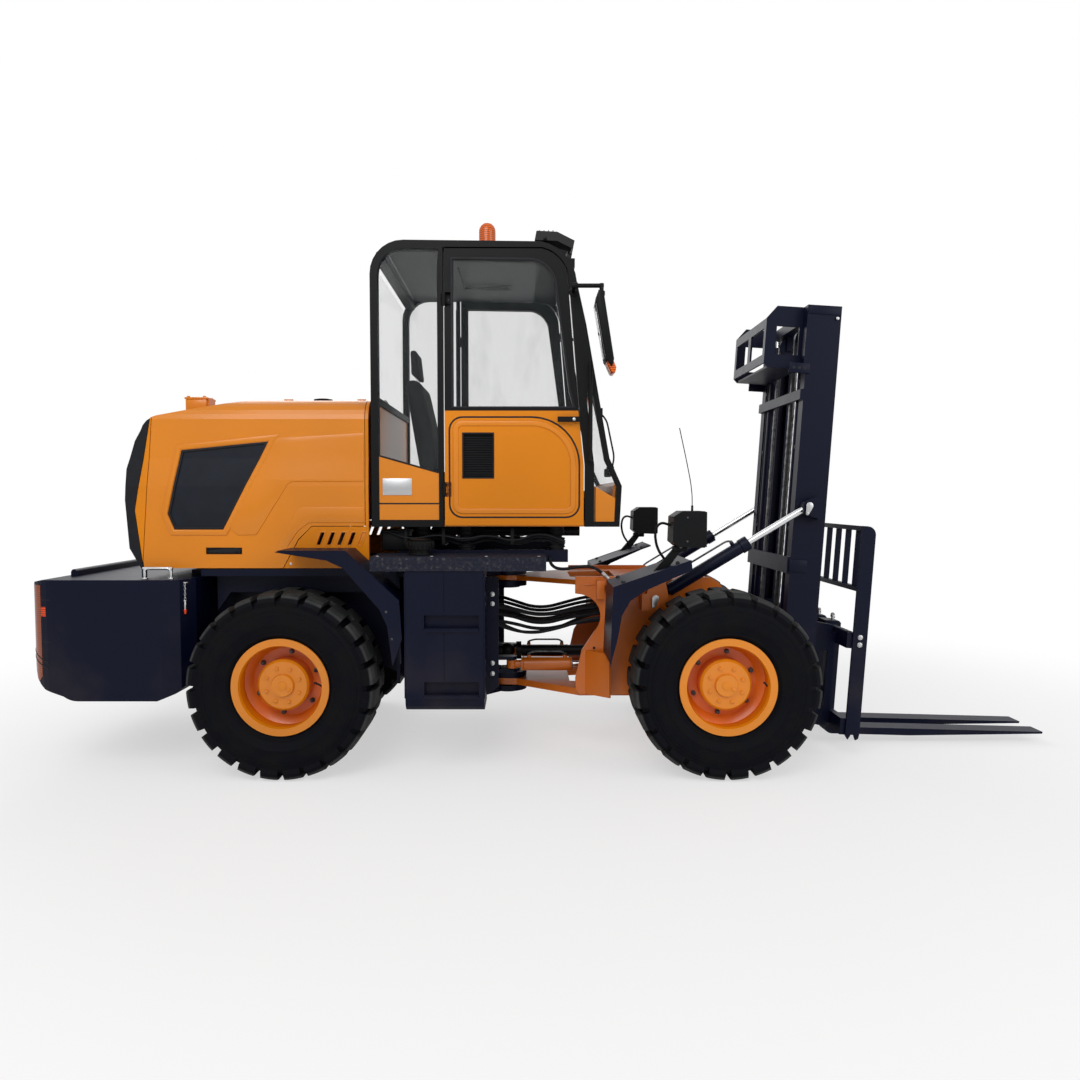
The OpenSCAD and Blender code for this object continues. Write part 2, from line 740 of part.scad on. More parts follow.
// Windscreen, rear window and quarter windows
module cab_glass() {
    color([0.2, 0.25, 0.28, 0.5]) union() {
        across(-cab_half + cab_wall + 0.5, cab_half - cab_wall - 0.5) polygon([
            [290, 1670], [300, 1674], [228, 1812], [88, 2570], [20, 2880], [8, 2880], [76, 2568],
            [216, 1806]]);
        block(cab_tail + 14, cab_tail + 20, -cab_half + cab_wall + 0.5, cab_half - cab_wall - 0.5,
            2150.5, 2900);
        both_sides() {
            across(-cab_half + 16, -cab_half + 22) polygon([
                [cab_tail + 44.5, 1813], [post_x - 26.5, 1717], [post_x - 26.5, cab_top - 46.5],
                each arc(cab_tail + 190, cab_top - 192, 145.5, 90, 180, 6)]);
            across(-cab_half + 16, -cab_half + 22) polygon([
                [door_nose + 60.5, 1642], [275, 1572], [281.5, 1640], [211.5, 1789], [135, 2198],
                [106, 2160], [door_nose + 60.5, 1763]]);
        }
    }
}

// Rubber mounts between the cab and the beams, and the pipes tucked under the floor
module cab_mounts() {
    color(black) both_sides() for (x = [-860, -600, -60]) {
        rod_z(48, 1262, 1310, x, -475);
        rod_z(36, 1310, 1360, x, -475);
        rod_z(48, 1360, cab_floor, x, -475);
    }
    color(black) {
        block(-760, 40, -300, 300, 1340, cab_floor);
        both_sides() rod_x(30, -500, 90, -326, 1368);
    }
}

module seat() {
    color(black) {
        block(-820, -420, -230, 230, cab_floor + 38, cab_floor + 231);
        difference() {
            across(-250, 250) polygon([
                [-900, cab_floor + 231], [-380, cab_floor + 231], [-350, cab_floor + 290],
                [-380, cab_floor + 350], [-760, cab_floor + 340], [-880, cab_floor + 900],
                [-960, cab_floor + 930], [-1010, cab_floor + 900], [-900, cab_floor + 300]]);
            block(-800, -300, -170, 170, cab_floor + 336, cab_floor + 400);
        }
        across(-140, 140) polygon([[-970, cab_floor + 926], [-905, cab_floor + 905],
            [-925, cab_floor + 1120], [-985, cab_floor + 1120]]);
    }
}

// Pedestal, column and wheel
module steering_column() {
    color(black) {
        across(-90, 90) polygon([
            [-20, cab_floor + 38], [150, cab_floor + 38], [70, cab_floor + 560],
            [-20, cab_floor + 520]]);
        translate([20, 0, cab_floor + 540]) rotate([0, -28, 0]) {
            cylinder(r = 26, h = 130);
            translate([0, 0, 130]) rotate_extrude() translate([175, 0]) circle(r = 15);
            translate([0, 0, 118]) cylinder(r = 50, h = 24);
            for (a = [90, 210, 330]) rotate([0, 0, a]) translate([30, -14, 122]) cube([140, 28, 12]);
        }
    }
}

// Mirror with its arm, one at each front post
module mirrors() {
    color(black) both_sides() {
        rod_y(12, -790, -cab_half, 30, 2745);
        rod_x(12, 18, 190, -790, 2745);
        rod_z(12, 2600, 2757, 178, -790);
        across(-880, -720) polygon([
            [150, 2690], [178, 2690], [236, 2330], [225, 2290], [196, 2330], [140, 2640]]);
    }
}

// Rotating beacon over the roof's right edge, and the four work lamps on its front edge
module cab_lamps() {
    color("#e86a10") union() {
        rod_z(62, cab_top + 22, cab_top + 40, beacon_x, beacon_y);
        rod_z(50, cab_top + 40, cab_top + 110, beacon_x, beacon_y);
        translate([beacon_x, beacon_y, cab_top + 110]) sphere(r = 50);
    }
    color(black) both_sides() for (y = [-520, -250]) {
        block(-150, -110, y - 20, y + 20, cab_top - 4, cab_top + 20);
        difference() {
            across(y - 70, y + 70) polygon([
                [-190, cab_top + 20], [-60, cab_top + 14], [30, cab_top - 30], [40, cab_top + 16],
                [-60, cab_top + 66], [-180, cab_top + 72]]);
            across(y - 58, y + 58) polygon([[20, cab_top - 60], [60, cab_top - 60],
                [60, cab_top + 40], [20, cab_top + 40]]);
        }
    }
}

// ---------------------------------------------------------------- front frame

plate_in = 400;         // inner and outer faces of the front frame's side plates
plate_out = 420;
mast_x = 1250;          // pivot of the mast
mast_z = 480;
tilt_x = 536;           // tail pin of each tilt cylinder
tilt_z = 966;
tilt_y = 475;
rod_pin_x = 250;        // where each steering rod meets the front frame
steer_z = 520;

// Front face of the front fender's upright leg, and height of its sloping top
function fender_leg(z) = 231 + 16 * (z - 660) / 416;
function fender_top(x) = 1084 + 147 * (x - 239) / 422;

module front_plate_outline() {
    difference() {
        polygon([
            [60, 1095], [60, 990], [95, 985], each arc(80, 850, 135, 75, -45, 7),
            [100, 640], [62, 470], [64, 400], [90, 372], [560, 372], [720, 395], [1140, 395],
            [1235, 425], each arc(mast_x, mast_z, 57, -100, 90, 8), [1190, 570], [1110, 760],
            [1060, 900], [930, 1060], [880, 1092], [640, 1075], [600, 1095]]);
        translate([front_x, wheel_r]) circle(r = 86);
        translate([1060, 640]) circle(r = 50);
    }
}

// Plan of the two tongues: round about the pivot pin, full width at the side plates
module tongue_plan() {
    difference() {
        union() {
            polygon([[pivot_x, -105], [pivot_x + 60, -105], [90, -plate_in - 1], [640, -plate_in - 1],
                [640, plate_in + 1], [90, plate_in + 1], [pivot_x + 60, 105], [pivot_x, 105]]);
            translate([pivot_x, 0]) circle(r = 105);
        }
        translate([pivot_x, 0]) circle(r = pivot_pin_r + fit);
        polygon([[40, -170], [330, -250], [330, 250], [40, 170]]);
    }
}

module front_frame() {
    color(frame_colour) difference() {
        union() {
            both_sides() {
                across(plate_in, plate_out) front_plate_outline();
                // seat on the axle
                block(front_x - 110, front_x + 110, 330, plate_in + 1, wheel_r + 100, wheel_r + 140);
                // outer lug and web that hold the tilt cylinder's tail pin
                across(518, 536) polygon([
                    [450, 900], [500, 1075], [590, 1075], [610, 980], [560, 905]]);
                block(450, 478, plate_out - 1, 536, 900, 1000);
                rod_y(22, plate_in, 540, tilt_x, tilt_z);
                rod_y(32, plate_in, 446, tilt_x, tilt_z);
                // mast pin, and ears for the steering rod
                rod_y(30, 375, 446, mast_x, mast_z);
                rod_y(44, 375, plate_in, mast_x, mast_z);
                for (z = [[steer_z + 31, steer_z + 51], [steer_z - 51, steer_z - 31]])
                    upright(z[0], z[1]) union() {
                        polygon([[rod_pin_x, 191], [402, 170], [402, 290], [rod_pin_x, 259]]);
                        translate([rod_pin_x, 225]) circle(r = 34);
                    }
                // flared guard behind the wheel, and brackets of the fender
                upright(374, 640) polygon([[120, plate_out - 1], [140, plate_out - 1],
                    [268, 530], [258, 538]]);
                for (z = [760, 1000]) across(plate_out - 1, 560) polygon([
                    [fender_leg(z), z], [262, z], [262, z + 40], [fender_leg(z + 40), z + 40]]);
            }
            upright(tongue_low[0], tongue_low[1]) tongue_plan();
            upright(tongue_high[0], tongue_high[1]) tongue_plan();
            block(400, 420, -plate_in - 1, plate_in + 1, 398, 1041);
            block(1120, 1140, -plate_in - 1, plate_in + 1, 420, 680);
            block(900, 1050, -plate_in - 1, plate_in + 1, 900, 920);
            block(640, 900, -plate_in - 1, plate_in + 1, 1050, 1070);
        }
        rod_x(100, 390, 430, 0, wheel_r + 40);
    }
}

// Front fender: bent plate behind and over the wheel with a deep outer flange
module front_fenders() {
    color(navy) both_sides() {
        across(-925, -530) polygon([
            [222, 660], [231, 660], [247, 1076], [664, 1222], [661, 1231], [239, 1084]]);
        across(-940, -925) polygon([
            [220, 640], [237, 1086], [662, 1234], [668, 1180], [420, 1070], [330, 1010],
            [285, 930], [262, 800]]);
    }
}

// Headlamps on stalks over the fenders
module headlamps() {
    color(black) both_sides() difference() {
        union() {
            across(-930, -750) polygon([
                [560, 1330], [590, 1305], [735, 1300], [745, 1310], [745, 1490], [735, 1500],
                [610, 1500], [565, 1470]]);
            across(-850, -830) polygon([
                [470, fender_top(470)], [560, fender_top(560)], [640, 1306], [590, 1306]]);
            rod_y(12, -860, -820, 615, 1302);
        }
        block(733, 760, -918, -762, 1312, 1488);
    }
}

// ---------------------------------------------------------------- mast

rail_rear = 67;
rail_front = rail_rear + rail_depth;
rail_foot = -285;
web_in = mast_half - 14;
flange_in = mast_half - 75;
inner_web = web_in - 9;
inner_flange = inner_web - 72;
inner_rear = rail_rear + 28;
inner_front = rail_front - 28;
inner_foot = -255;
inner_top = 2230;
lift_x = 106;
lift_y = mast_half - 143;
chain_y = 160;
sheave_x = 140;
sheave_z = 2100;
sheave_r = 52;
eye_x = 129;            // where each tilt rod meets the mast
eye_z = 1047;

// Carries what is drawn upright about the mast's pivot to its leaning place
module lean() {
    translate([mast_x, 0, mast_z]) rotate([0, mast_lean, 0]) children();
}

module outer_mast() {
    color(navy) lean() difference() {
        union() {
            both_sides() {
                difference() {
                    block(rail_rear, rail_front, flange_in, mast_half, rail_foot, rail_top);
                    block(rail_rear + 22, rail_front - 22, flange_in - 1, web_in, rail_foot - 1,
                        rail_top + 1);
                }
                // pivot lug
                across(mast_half - 14, mast_half) union() {
                    polygon([[0, 56], [rail_rear + 1, 130], [rail_rear + 1, -130], [0, -56]]);
                    circle(r = 56);
                }
                // clevis for the tilt rod
                across(508, 522) polygon([
                    [eye_x - 36, eye_z - 40], [eye_x + 84, eye_z - 75], [eye_x + 84, eye_z + 60],
                    [eye_x + 30, eye_z + 62], [eye_x - 36, eye_z + 30]]);
                block(eye_x + 56, eye_x + 84, mast_half - 1, 522, eye_z - 70, eye_z + 60);
                rod_y(20, mast_half - 10, 530, eye_x, eye_z);
                // cheeks of the top tie
                across(350, 364) polygon([
                    [rail_rear + 1, 1880], [-140, 1880], [-165, 1905], [-165, 2175], [-105, rail_top],
                    [rail_rear + 1, rail_top]]);
                block(rail_rear - 12, rail_rear + 1, 350, mast_half, 1880, rail_top);
            }
            block(-165, -153, -360, 360, 1905, 2175);
            block(-140, rail_rear, -360, 360, 1880, 1892);
            block(rail_rear - 20, rail_rear, -mast_half, mast_half, 640, 740);
            block(rail_rear - 20, rail_rear, -mast_half, mast_half, 1690, 1750);
            block(rail_rear - 16, rail_rear, -mast_half, mast_half, rail_foot, rail_foot + 80);
            block(rail_rear - 16, lift_x + 36, -flange_in, flange_in, rail_foot, rail_foot + 20);
        }
        both_sides() {
            rod_y(30 + fit, mast_half - 20, mast_half + 5, 0, 0);
            // windows of the top tie
            block(-170, -150, 30, 320, 1960, 2120);
            block(-100, rail_rear - 30, 340, 370, 1960, 2130);
        }
    }
}

// Barrels of the two lift cylinders
module lift_barrels() {
    color(navy) lean() both_sides() difference() {
        union() {
            rod_z(36, rail_foot + 20, 2060, lift_x, lift_y);
            rod_z(42, 2060, 2120, lift_x, lift_y);
            block(rail_rear, lift_x, lift_y - 30, lift_y + 30, 1700, 1740);
        }
        rod_z(26, rail_foot + 60, 2130, lift_x, lift_y);
    }
}

module lift_rods() {
    color("silver") lean() both_sides()
        rod_z(24, rail_foot + 80, 2170, lift_x, lift_y);
}

module inner_mast() {
    color(navy) lean() union() {
        both_sides() {
            difference() {
                block(inner_rear, inner_front, inner_flange, inner_web, inner_foot, inner_top);
                block(inner_rear + 16, inner_front - 16, inner_flange - 1, inner_web - 14,
                    inner_foot - 1, inner_top + 1);
            }
            // cheeks and pin of each chain sheave
            for (y = [chain_y - 33, chain_y + 25])
                block(sheave_x - 22, sheave_x + 22, y, y + 8, sheave_z - 24, 2171);
            rod_y(12, chain_y - 26, chain_y + 26, sheave_x, sheave_z);
            rod_y(sheave_r, chain_y - 16, chain_y + 16, sheave_x, sheave_z);
            rod_y(sheave_r + 12, chain_y - 20, chain_y - 16, sheave_x, sheave_z);
            rod_y(sheave_r + 12, chain_y + 16, chain_y + 20, sheave_x, sheave_z);
        }
        block(rail_rear + 7, inner_front, -inner_flange - 1, inner_flange + 1, 2170, inner_top);
        block(lift_x + 43, inner_front, -inner_flange - 1, inner_flange + 1, inner_foot - 15,
            inner_foot + 40);
    }
}

// Lift chains over the sheaves, with their link plates
module mast_chains() {
    color(black) lean() both_sides() {
        for (run = [[sheave_x + sheave_r, 300], [sheave_x - sheave_r - 14, -258]]) {
            block(run[0] + 0.5, run[0] + 13.5, chain_y - 12, chain_y + 12, run[1], sheave_z);
            for (z = [run[1] + 30:60:sheave_z - 30])
                block(run[0] + 0.2, run[0] + 13.8, chain_y - 15, chain_y + 15, z - 12, z + 12);
        }
        translate([sheave_x, chain_y + 12, sheave_z]) rotate([90, 0, 0]) difference() {
            cylinder(r = sheave_r + 13.5, h = 24);
            translate([0, 0, -1]) cylinder(r = sheave_r + 0.5, h = 26);
            translate([-100, -100, -1]) cube([200, 100, 26]);
        }
    }
}

bar_rear = 415;
bar_front = 455;
bar_high = [220, 315];
bar_low = [-305, -205];

// Carriage: roller plates, two fork bars and the load backrest
module carriage() {
    color(navy) lean() union() {
        both_sides() {
            across(inner_flange - 30, inner_flange - 10) difference() {
                polygon([[146, -195], [268, -195], [300, -300], [394, -300], [394, -285],
                    [bar_rear + 1, -285], [bar_rear + 1, 280], [394, 280], [394, 330], [280, 345],
                    [200, 400], [146, 400]]);
                polygon([[300, -160], [375, -180], [375, 170], [300, 150]]);
            }
            for (z = [-140, 345]) {
                rod_y(46, inner_flange + 4, inner_web - 22, 162, z);
                rod_y(14, inner_flange - 12, inner_flange + 5, 162, z);
            }
            // end posts of the backrest, rounded at the top and hooked at the foot
            across(520, 536) polygon([
                [445, -305], [462, -330], [478, -300], [496, -300], [508, -332], [524, -322],
                [530, -290], [530, 900], each arc(480, 905, 50, 0, 90, 5), [446, 955]]);
        }
        block(bar_rear, bar_front, -521, 521, bar_high[0], bar_high[1]);
        block(bar_rear, bar_front, -521, 521, bar_low[0], bar_low[1]);
        block(212, 236, -inner_flange + 11, inner_flange - 11, 250, 330);
        both_sides() block(212, 232, chain_y - 20, chain_y + 20, 329, 380);
        // backrest rails and slats
        block(462, 500, -521, 521, 925, 953);
        block(462, 500, -521, 521, 560, 588);
        for (y = [-400:160:400]) block(466, 500, y - 6, y + 6, 587, 926);
    }
}

// One fork: hooks over both bars, shank and tapering blade, centred on Y
module fork() {
    blade_rise = 2;
    back = bar_front + 1;
    front = back + tine_t;
    slope = mast_lean - blade_rise;
    blade = (tip_x - mast_x - front * cos(mast_lean) + 345 * sin(mast_lean)) / cos(slope);
    across(-tine_w / 2, tine_w / 2) polygon([
        [back, 316], [bar_rear - 1, 316], [bar_rear - 1, 300], [bar_rear - 15, 300],
        [bar_rear - 15, 338], [front - 12, 338], [front, 326], [front, -345 + 14],
        [front + 14, -345],
        [front + (blade - 40) * cos(blade_rise), -345 + (blade - 40) * sin(blade_rise)],
        [front + blade * cos(blade_rise), -345 + blade * sin(blade_rise)],
        [front + (blade - 4) * cos(blade_rise), -357 + blade * sin(blade_rise)],
        [front + 500 * cos(blade_rise), -345 - tine_t + 500 * sin(blade_rise)],
        each arc(front - 5, -345 + 2, tine_t + 2, 270, 200, 4), [back, -330], [back, -306.5],
        [back, -306]]);
    block(bar_rear - 15, back + 1, -tine_w / 2, tine_w / 2, -340, -306);
    block(bar_rear - 15, bar_rear - 1, -tine_w / 2, tine_w / 2, -307, -290);
}

module fork_right() color(navy) lean() translate([0, -fork_y, 0]) fork();
module fork_left() color(navy) lean() translate([0, fork_y, 0]) fork();

// ---------------------------------------------------------------- cylinders

eye_world = [mast_x + eye_x * cos(mast_lean) + eye_z * sin(mast_lean),
    mast_z - eye_x * sin(mast_lean) + eye_z * cos(mast_lean)];
tilt_len = norm([eye_world[0] - tilt_x, eye_world[1] - tilt_z]);
tilt_slope = atan2(eye_world[1] - tilt_z, eye_world[0] - tilt_x);

module tilt_place(side) {
    translate([tilt_x, side * tilt_y, tilt_z]) rotate([0, -tilt_slope, 0]) children();
}

module tilt_barrel(side) {
    color(navy) tilt_place(side) difference() {
        union() {
            rod_y(40, -24, 24, 0, 0);
            rod_x(23, 25, 96, 0, 0);
            rod_x(38, 95, 620, 0, 0);
            rod_x(44, 600, 650, 0, 0);
        }
        rod_y(22 + fit, -30, 30, 0, 0);
        rod_x(21, 110, 660, 0, 0);
    }
}

module tilt_rod(side) {
    color("silver") tilt_place(side) difference() {
        union() {
            rod_x(20, 300, tilt_len - 20, 0, 0);
            rod_y(36, -24, 24, tilt_len, 0);
        }
        rod_y(27, -30, 30, tilt_len, 0);
    }
}

module steer_place(side) {
    translate([tail_pin_x, side * tail_pin_y, steer_z]) children();
}

module steer_barrel(side) {
    color(body_colour) steer_place(side) difference() {
        union() {
            rod_z(33, -25, 25, 0, 0);
            rod_x(24, 20, 62, 0, 0);
            rod_x(42, 60, 380, 0, 0);
            rod_z(9, 38, 66, 110, 0);
        }
        rod_z(18 + fit, -30, 30, 0, 0);
        rod_x(19, 70, 390, 0, 0);
    }
}

module steer_rod(side) {
    color("silver") steer_place(side) union() {
        rod_x(18, 200, rod_pin_x - tail_pin_x - 20, 0, 0);
        rod_z(32, -25, 25, rod_pin_x - tail_pin_x, 0);
    }
}

// ---------------------------------------------------------------- hoses

// A tube of eight sides swept along a route of points that runs mostly along X
module hose(route, r) {
    n = 8;
    last = len(route) - 1;
    points = [for (i = [0:last]) let (
        d = route[min(i + 1, last)] - route[max(i - 1, 0)],
        t = d / norm(d),
        u = cross(t, [0, 1, 0]) / norm(cross(t, [0, 1, 0])),
        v = cross(t, u))
        for (k = [0:n - 1]) route[i] + r * (cos(k * 360 / n) * u + sin(k * 360 / n) * v)];
    sides = [for (i = [0:last - 1], k = [0:n - 1])
        [i * n + k, i * n + (k + 1) % n, (i + 1) * n + (k + 1) % n, (i + 1) * n + k]];
    polyhedron(points, concat([[for (k = [n - 1:-1:0]) k]], sides,
        [[for (k = [0:n - 1]) last * n + k]]));
}

hose_starts = [[-300, 900], [-250, 850], [-200, 800], [-140, 890], [-80, 840], [80, 840],
    [140, 890], [200, 800], [250, 850], [300, 900]];

// Bundle of hoses that crosses the pivot
module hoses() {
    color(black) for (s = hose_starts) let (y = s[0], z = s[1]) {
        hose([[-560, y, z], [-480, y, z], [-400, y * 0.9, z - 15], [-300, y * 0.7, z - 40],
            [-200, y * 0.62, z - 70], [-90, y * 0.62, z - 72], [20, y * 0.7, z - 45],
            [130, y * 0.82, z - 20], [240, y * 0.9, z - 5], [320, y * 0.92, z], [400, y * 0.92, z]],
            11);
    }
}

// ---------------------------------------------------------------- placing

module tyre_rear_right() wheel_place(rear_x, -1) tyre();
module tyre_rear_left() wheel_place(rear_x, 1) tyre();
module tyre_front_right() wheel_place(front_x, -1) tyre();
module tyre_front_left() wheel_place(front_x, 1) tyre();
module rim_rear_right() wheel_place(rear_x, -1) rim();
module rim_rear_left() wheel_place(rear_x, 1) rim();
module rim_front_right() wheel_place(front_x, -1) rim();
module rim_front_left() wheel_place(front_x, 1) rim();
module tanks() both_sides() tank();
module hood_door_right() mirror([0, 1, 0]) hood_door();
module hood_door_left() hood_door();
module hood_vent_right() mirror([0, 1, 0]) hood_vent();
module hood_vent_left() hood_vent();
module cab_door_right() cab_door();
module cab_door_left() mirror([0, 1, 0]) cab_door();
module door_glass_right() door_glass();
module door_glass_left() mirror([0, 1, 0]) door_glass();
module tilt_barrel_right() tilt_barrel(-1);
module tilt_barrel_left() tilt_barrel(1);
module tilt_rod_right() tilt_rod(-1);
module tilt_rod_left() tilt_rod(1);
module steer_barrel_right() steer_barrel(-1);
module steer_barrel_left() steer_barrel(1);
module steer_rod_right() steer_rod(-1);
module steer_rod_left() steer_rod(1);

rear_frame();
counterweight();
rear_lamps();
rear_axle();
engine();
rear_shaft();
hood_shell();
rear_grille();
tanks();
decks();
rear_fenders();
cab_frame();
cab_panels();
cab_roof();
cab_glass();
cab_mounts();
seat();
steering_column();
mirrors();
cab_lamps();
hood_door_right();
hood_vent_right();
hood_door_left();
hood_vent_left();
cab_door_right();
door_glass_right();
cab_door_left();
door_glass_left();
front_frame();
front_axle();
front_shaft();
front_fenders();
headlamps();
tyre_rear_right();
rim_rear_right();
tyre_rear_left();
rim_rear_left();
tyre_front_right();
rim_front_right();
tyre_front_left();
rim_front_left();
outer_mast();
lift_barrels();
inner_mast();
lift_rods();
mast_chains();
carriage();
fork_right();
fork_left();
tilt_barrel_right();
tilt_rod_right();
tilt_barrel_left();
tilt_rod_left();
steer_barrel_right();
steer_rod_right();
steer_barrel_left();
steer_rod_left();
hoses();
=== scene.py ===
"""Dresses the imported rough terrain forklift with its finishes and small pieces."""

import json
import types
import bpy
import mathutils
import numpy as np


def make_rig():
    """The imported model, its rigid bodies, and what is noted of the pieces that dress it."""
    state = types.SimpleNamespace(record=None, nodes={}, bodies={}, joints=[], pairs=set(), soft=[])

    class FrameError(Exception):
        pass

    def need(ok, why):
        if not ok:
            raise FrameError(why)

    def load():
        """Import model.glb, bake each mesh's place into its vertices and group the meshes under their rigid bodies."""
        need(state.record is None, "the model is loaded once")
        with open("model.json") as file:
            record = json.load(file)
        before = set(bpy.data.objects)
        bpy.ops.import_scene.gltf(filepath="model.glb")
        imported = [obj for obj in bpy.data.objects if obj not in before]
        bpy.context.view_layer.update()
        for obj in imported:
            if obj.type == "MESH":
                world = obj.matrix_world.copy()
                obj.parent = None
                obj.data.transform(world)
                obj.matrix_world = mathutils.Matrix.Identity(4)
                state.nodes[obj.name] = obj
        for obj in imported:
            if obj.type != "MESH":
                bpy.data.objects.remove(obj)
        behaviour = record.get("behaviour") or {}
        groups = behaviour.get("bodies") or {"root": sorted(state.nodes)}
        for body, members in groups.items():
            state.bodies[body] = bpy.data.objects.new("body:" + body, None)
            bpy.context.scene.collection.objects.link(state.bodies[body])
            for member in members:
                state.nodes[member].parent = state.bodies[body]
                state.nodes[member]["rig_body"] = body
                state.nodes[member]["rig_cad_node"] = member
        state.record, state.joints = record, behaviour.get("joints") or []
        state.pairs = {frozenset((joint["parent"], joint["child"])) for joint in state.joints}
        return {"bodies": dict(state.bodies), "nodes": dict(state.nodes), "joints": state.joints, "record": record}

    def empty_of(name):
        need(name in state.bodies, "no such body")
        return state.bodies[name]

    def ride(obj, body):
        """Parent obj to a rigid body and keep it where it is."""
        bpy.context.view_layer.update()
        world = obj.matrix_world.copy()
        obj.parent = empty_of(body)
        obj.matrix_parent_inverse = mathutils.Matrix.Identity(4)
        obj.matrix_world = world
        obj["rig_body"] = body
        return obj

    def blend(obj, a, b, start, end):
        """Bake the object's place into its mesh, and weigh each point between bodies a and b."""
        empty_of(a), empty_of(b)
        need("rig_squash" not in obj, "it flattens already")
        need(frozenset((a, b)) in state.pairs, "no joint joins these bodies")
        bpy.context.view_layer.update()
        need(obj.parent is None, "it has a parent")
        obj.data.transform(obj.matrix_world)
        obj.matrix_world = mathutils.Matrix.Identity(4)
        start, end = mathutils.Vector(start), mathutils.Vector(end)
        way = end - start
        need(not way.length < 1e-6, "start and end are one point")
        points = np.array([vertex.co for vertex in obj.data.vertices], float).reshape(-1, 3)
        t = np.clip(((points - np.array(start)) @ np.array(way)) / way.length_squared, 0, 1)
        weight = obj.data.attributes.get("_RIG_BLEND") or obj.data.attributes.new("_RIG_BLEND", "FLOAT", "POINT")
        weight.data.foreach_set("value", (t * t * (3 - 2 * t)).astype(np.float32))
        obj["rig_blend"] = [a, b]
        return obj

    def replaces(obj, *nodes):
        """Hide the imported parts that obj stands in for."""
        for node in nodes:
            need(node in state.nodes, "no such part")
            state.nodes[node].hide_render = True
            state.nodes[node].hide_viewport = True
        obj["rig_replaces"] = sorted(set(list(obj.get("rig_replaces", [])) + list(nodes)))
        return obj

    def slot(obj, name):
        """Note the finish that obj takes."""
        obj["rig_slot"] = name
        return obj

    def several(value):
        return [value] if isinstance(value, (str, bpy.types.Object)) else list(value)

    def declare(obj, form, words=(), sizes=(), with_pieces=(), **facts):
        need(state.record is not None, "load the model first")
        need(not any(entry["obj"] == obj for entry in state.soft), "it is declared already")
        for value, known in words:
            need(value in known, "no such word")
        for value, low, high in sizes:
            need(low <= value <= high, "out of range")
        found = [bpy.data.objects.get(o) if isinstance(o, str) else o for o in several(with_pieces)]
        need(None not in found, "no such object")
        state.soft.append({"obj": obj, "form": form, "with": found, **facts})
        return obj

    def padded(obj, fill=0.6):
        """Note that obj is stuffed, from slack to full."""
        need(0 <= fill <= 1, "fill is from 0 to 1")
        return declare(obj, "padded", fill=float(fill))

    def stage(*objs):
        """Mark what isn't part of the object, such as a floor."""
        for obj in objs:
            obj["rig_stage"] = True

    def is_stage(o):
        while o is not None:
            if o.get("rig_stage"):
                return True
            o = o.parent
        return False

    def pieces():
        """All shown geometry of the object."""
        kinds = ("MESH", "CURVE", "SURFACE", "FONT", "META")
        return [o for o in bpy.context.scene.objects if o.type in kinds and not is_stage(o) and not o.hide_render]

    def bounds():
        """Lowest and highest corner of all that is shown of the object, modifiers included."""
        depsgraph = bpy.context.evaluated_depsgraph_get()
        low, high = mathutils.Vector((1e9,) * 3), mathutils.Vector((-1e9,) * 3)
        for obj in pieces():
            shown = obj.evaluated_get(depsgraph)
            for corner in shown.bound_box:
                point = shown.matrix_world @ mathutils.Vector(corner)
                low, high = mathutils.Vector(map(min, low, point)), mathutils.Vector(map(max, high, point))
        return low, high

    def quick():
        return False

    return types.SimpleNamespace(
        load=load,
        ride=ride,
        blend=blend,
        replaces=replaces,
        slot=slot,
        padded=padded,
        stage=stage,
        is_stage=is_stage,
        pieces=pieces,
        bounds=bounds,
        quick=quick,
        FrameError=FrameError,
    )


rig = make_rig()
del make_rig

bl_info = {
    "name": "Rough terrain forklift", "version": (1, 0, 0), "blender": (4, 5, 0),
    "location": "View3D > Sidebar > Forklift",
    "description": "Finishes and small pieces for an articulated rough terrain forklift",
    "category": "Object"
}

import sys

import json
import math
import random

import bmesh
import bpy
from bpy.props import FloatProperty, FloatVectorProperty, PointerProperty
from mathutils import Matrix, Vector
from mathutils.geometry import interpolate_bezier

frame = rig.load()
CAD_BOX = [list(corner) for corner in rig.bounds()]

AHEAD, OUT, UP = (1, 0, 0), (0, -1, 0), (0, 0, 1)
REAR_AXLE, FRONT_AXLE, PIVOT = -1.6, 0.88, -0.36
AXLES = (("rear", REAR_AXLE), ("front", FRONT_AXLE))
WHEEL_RADIUS = 0.525
TRACK = 0.745
# each side's name, with the turn that takes right-hand places to it
SIDES = (("right", Matrix.Identity(4)), ("left", Matrix.Scale(-1, 4, (0, 1, 0))))
MAST_LEAN = math.radians(3.5)
MAST_PIVOT = Vector((1.25, 0.0, 0.48))


# ------------------------------------------------------------------ shader maths


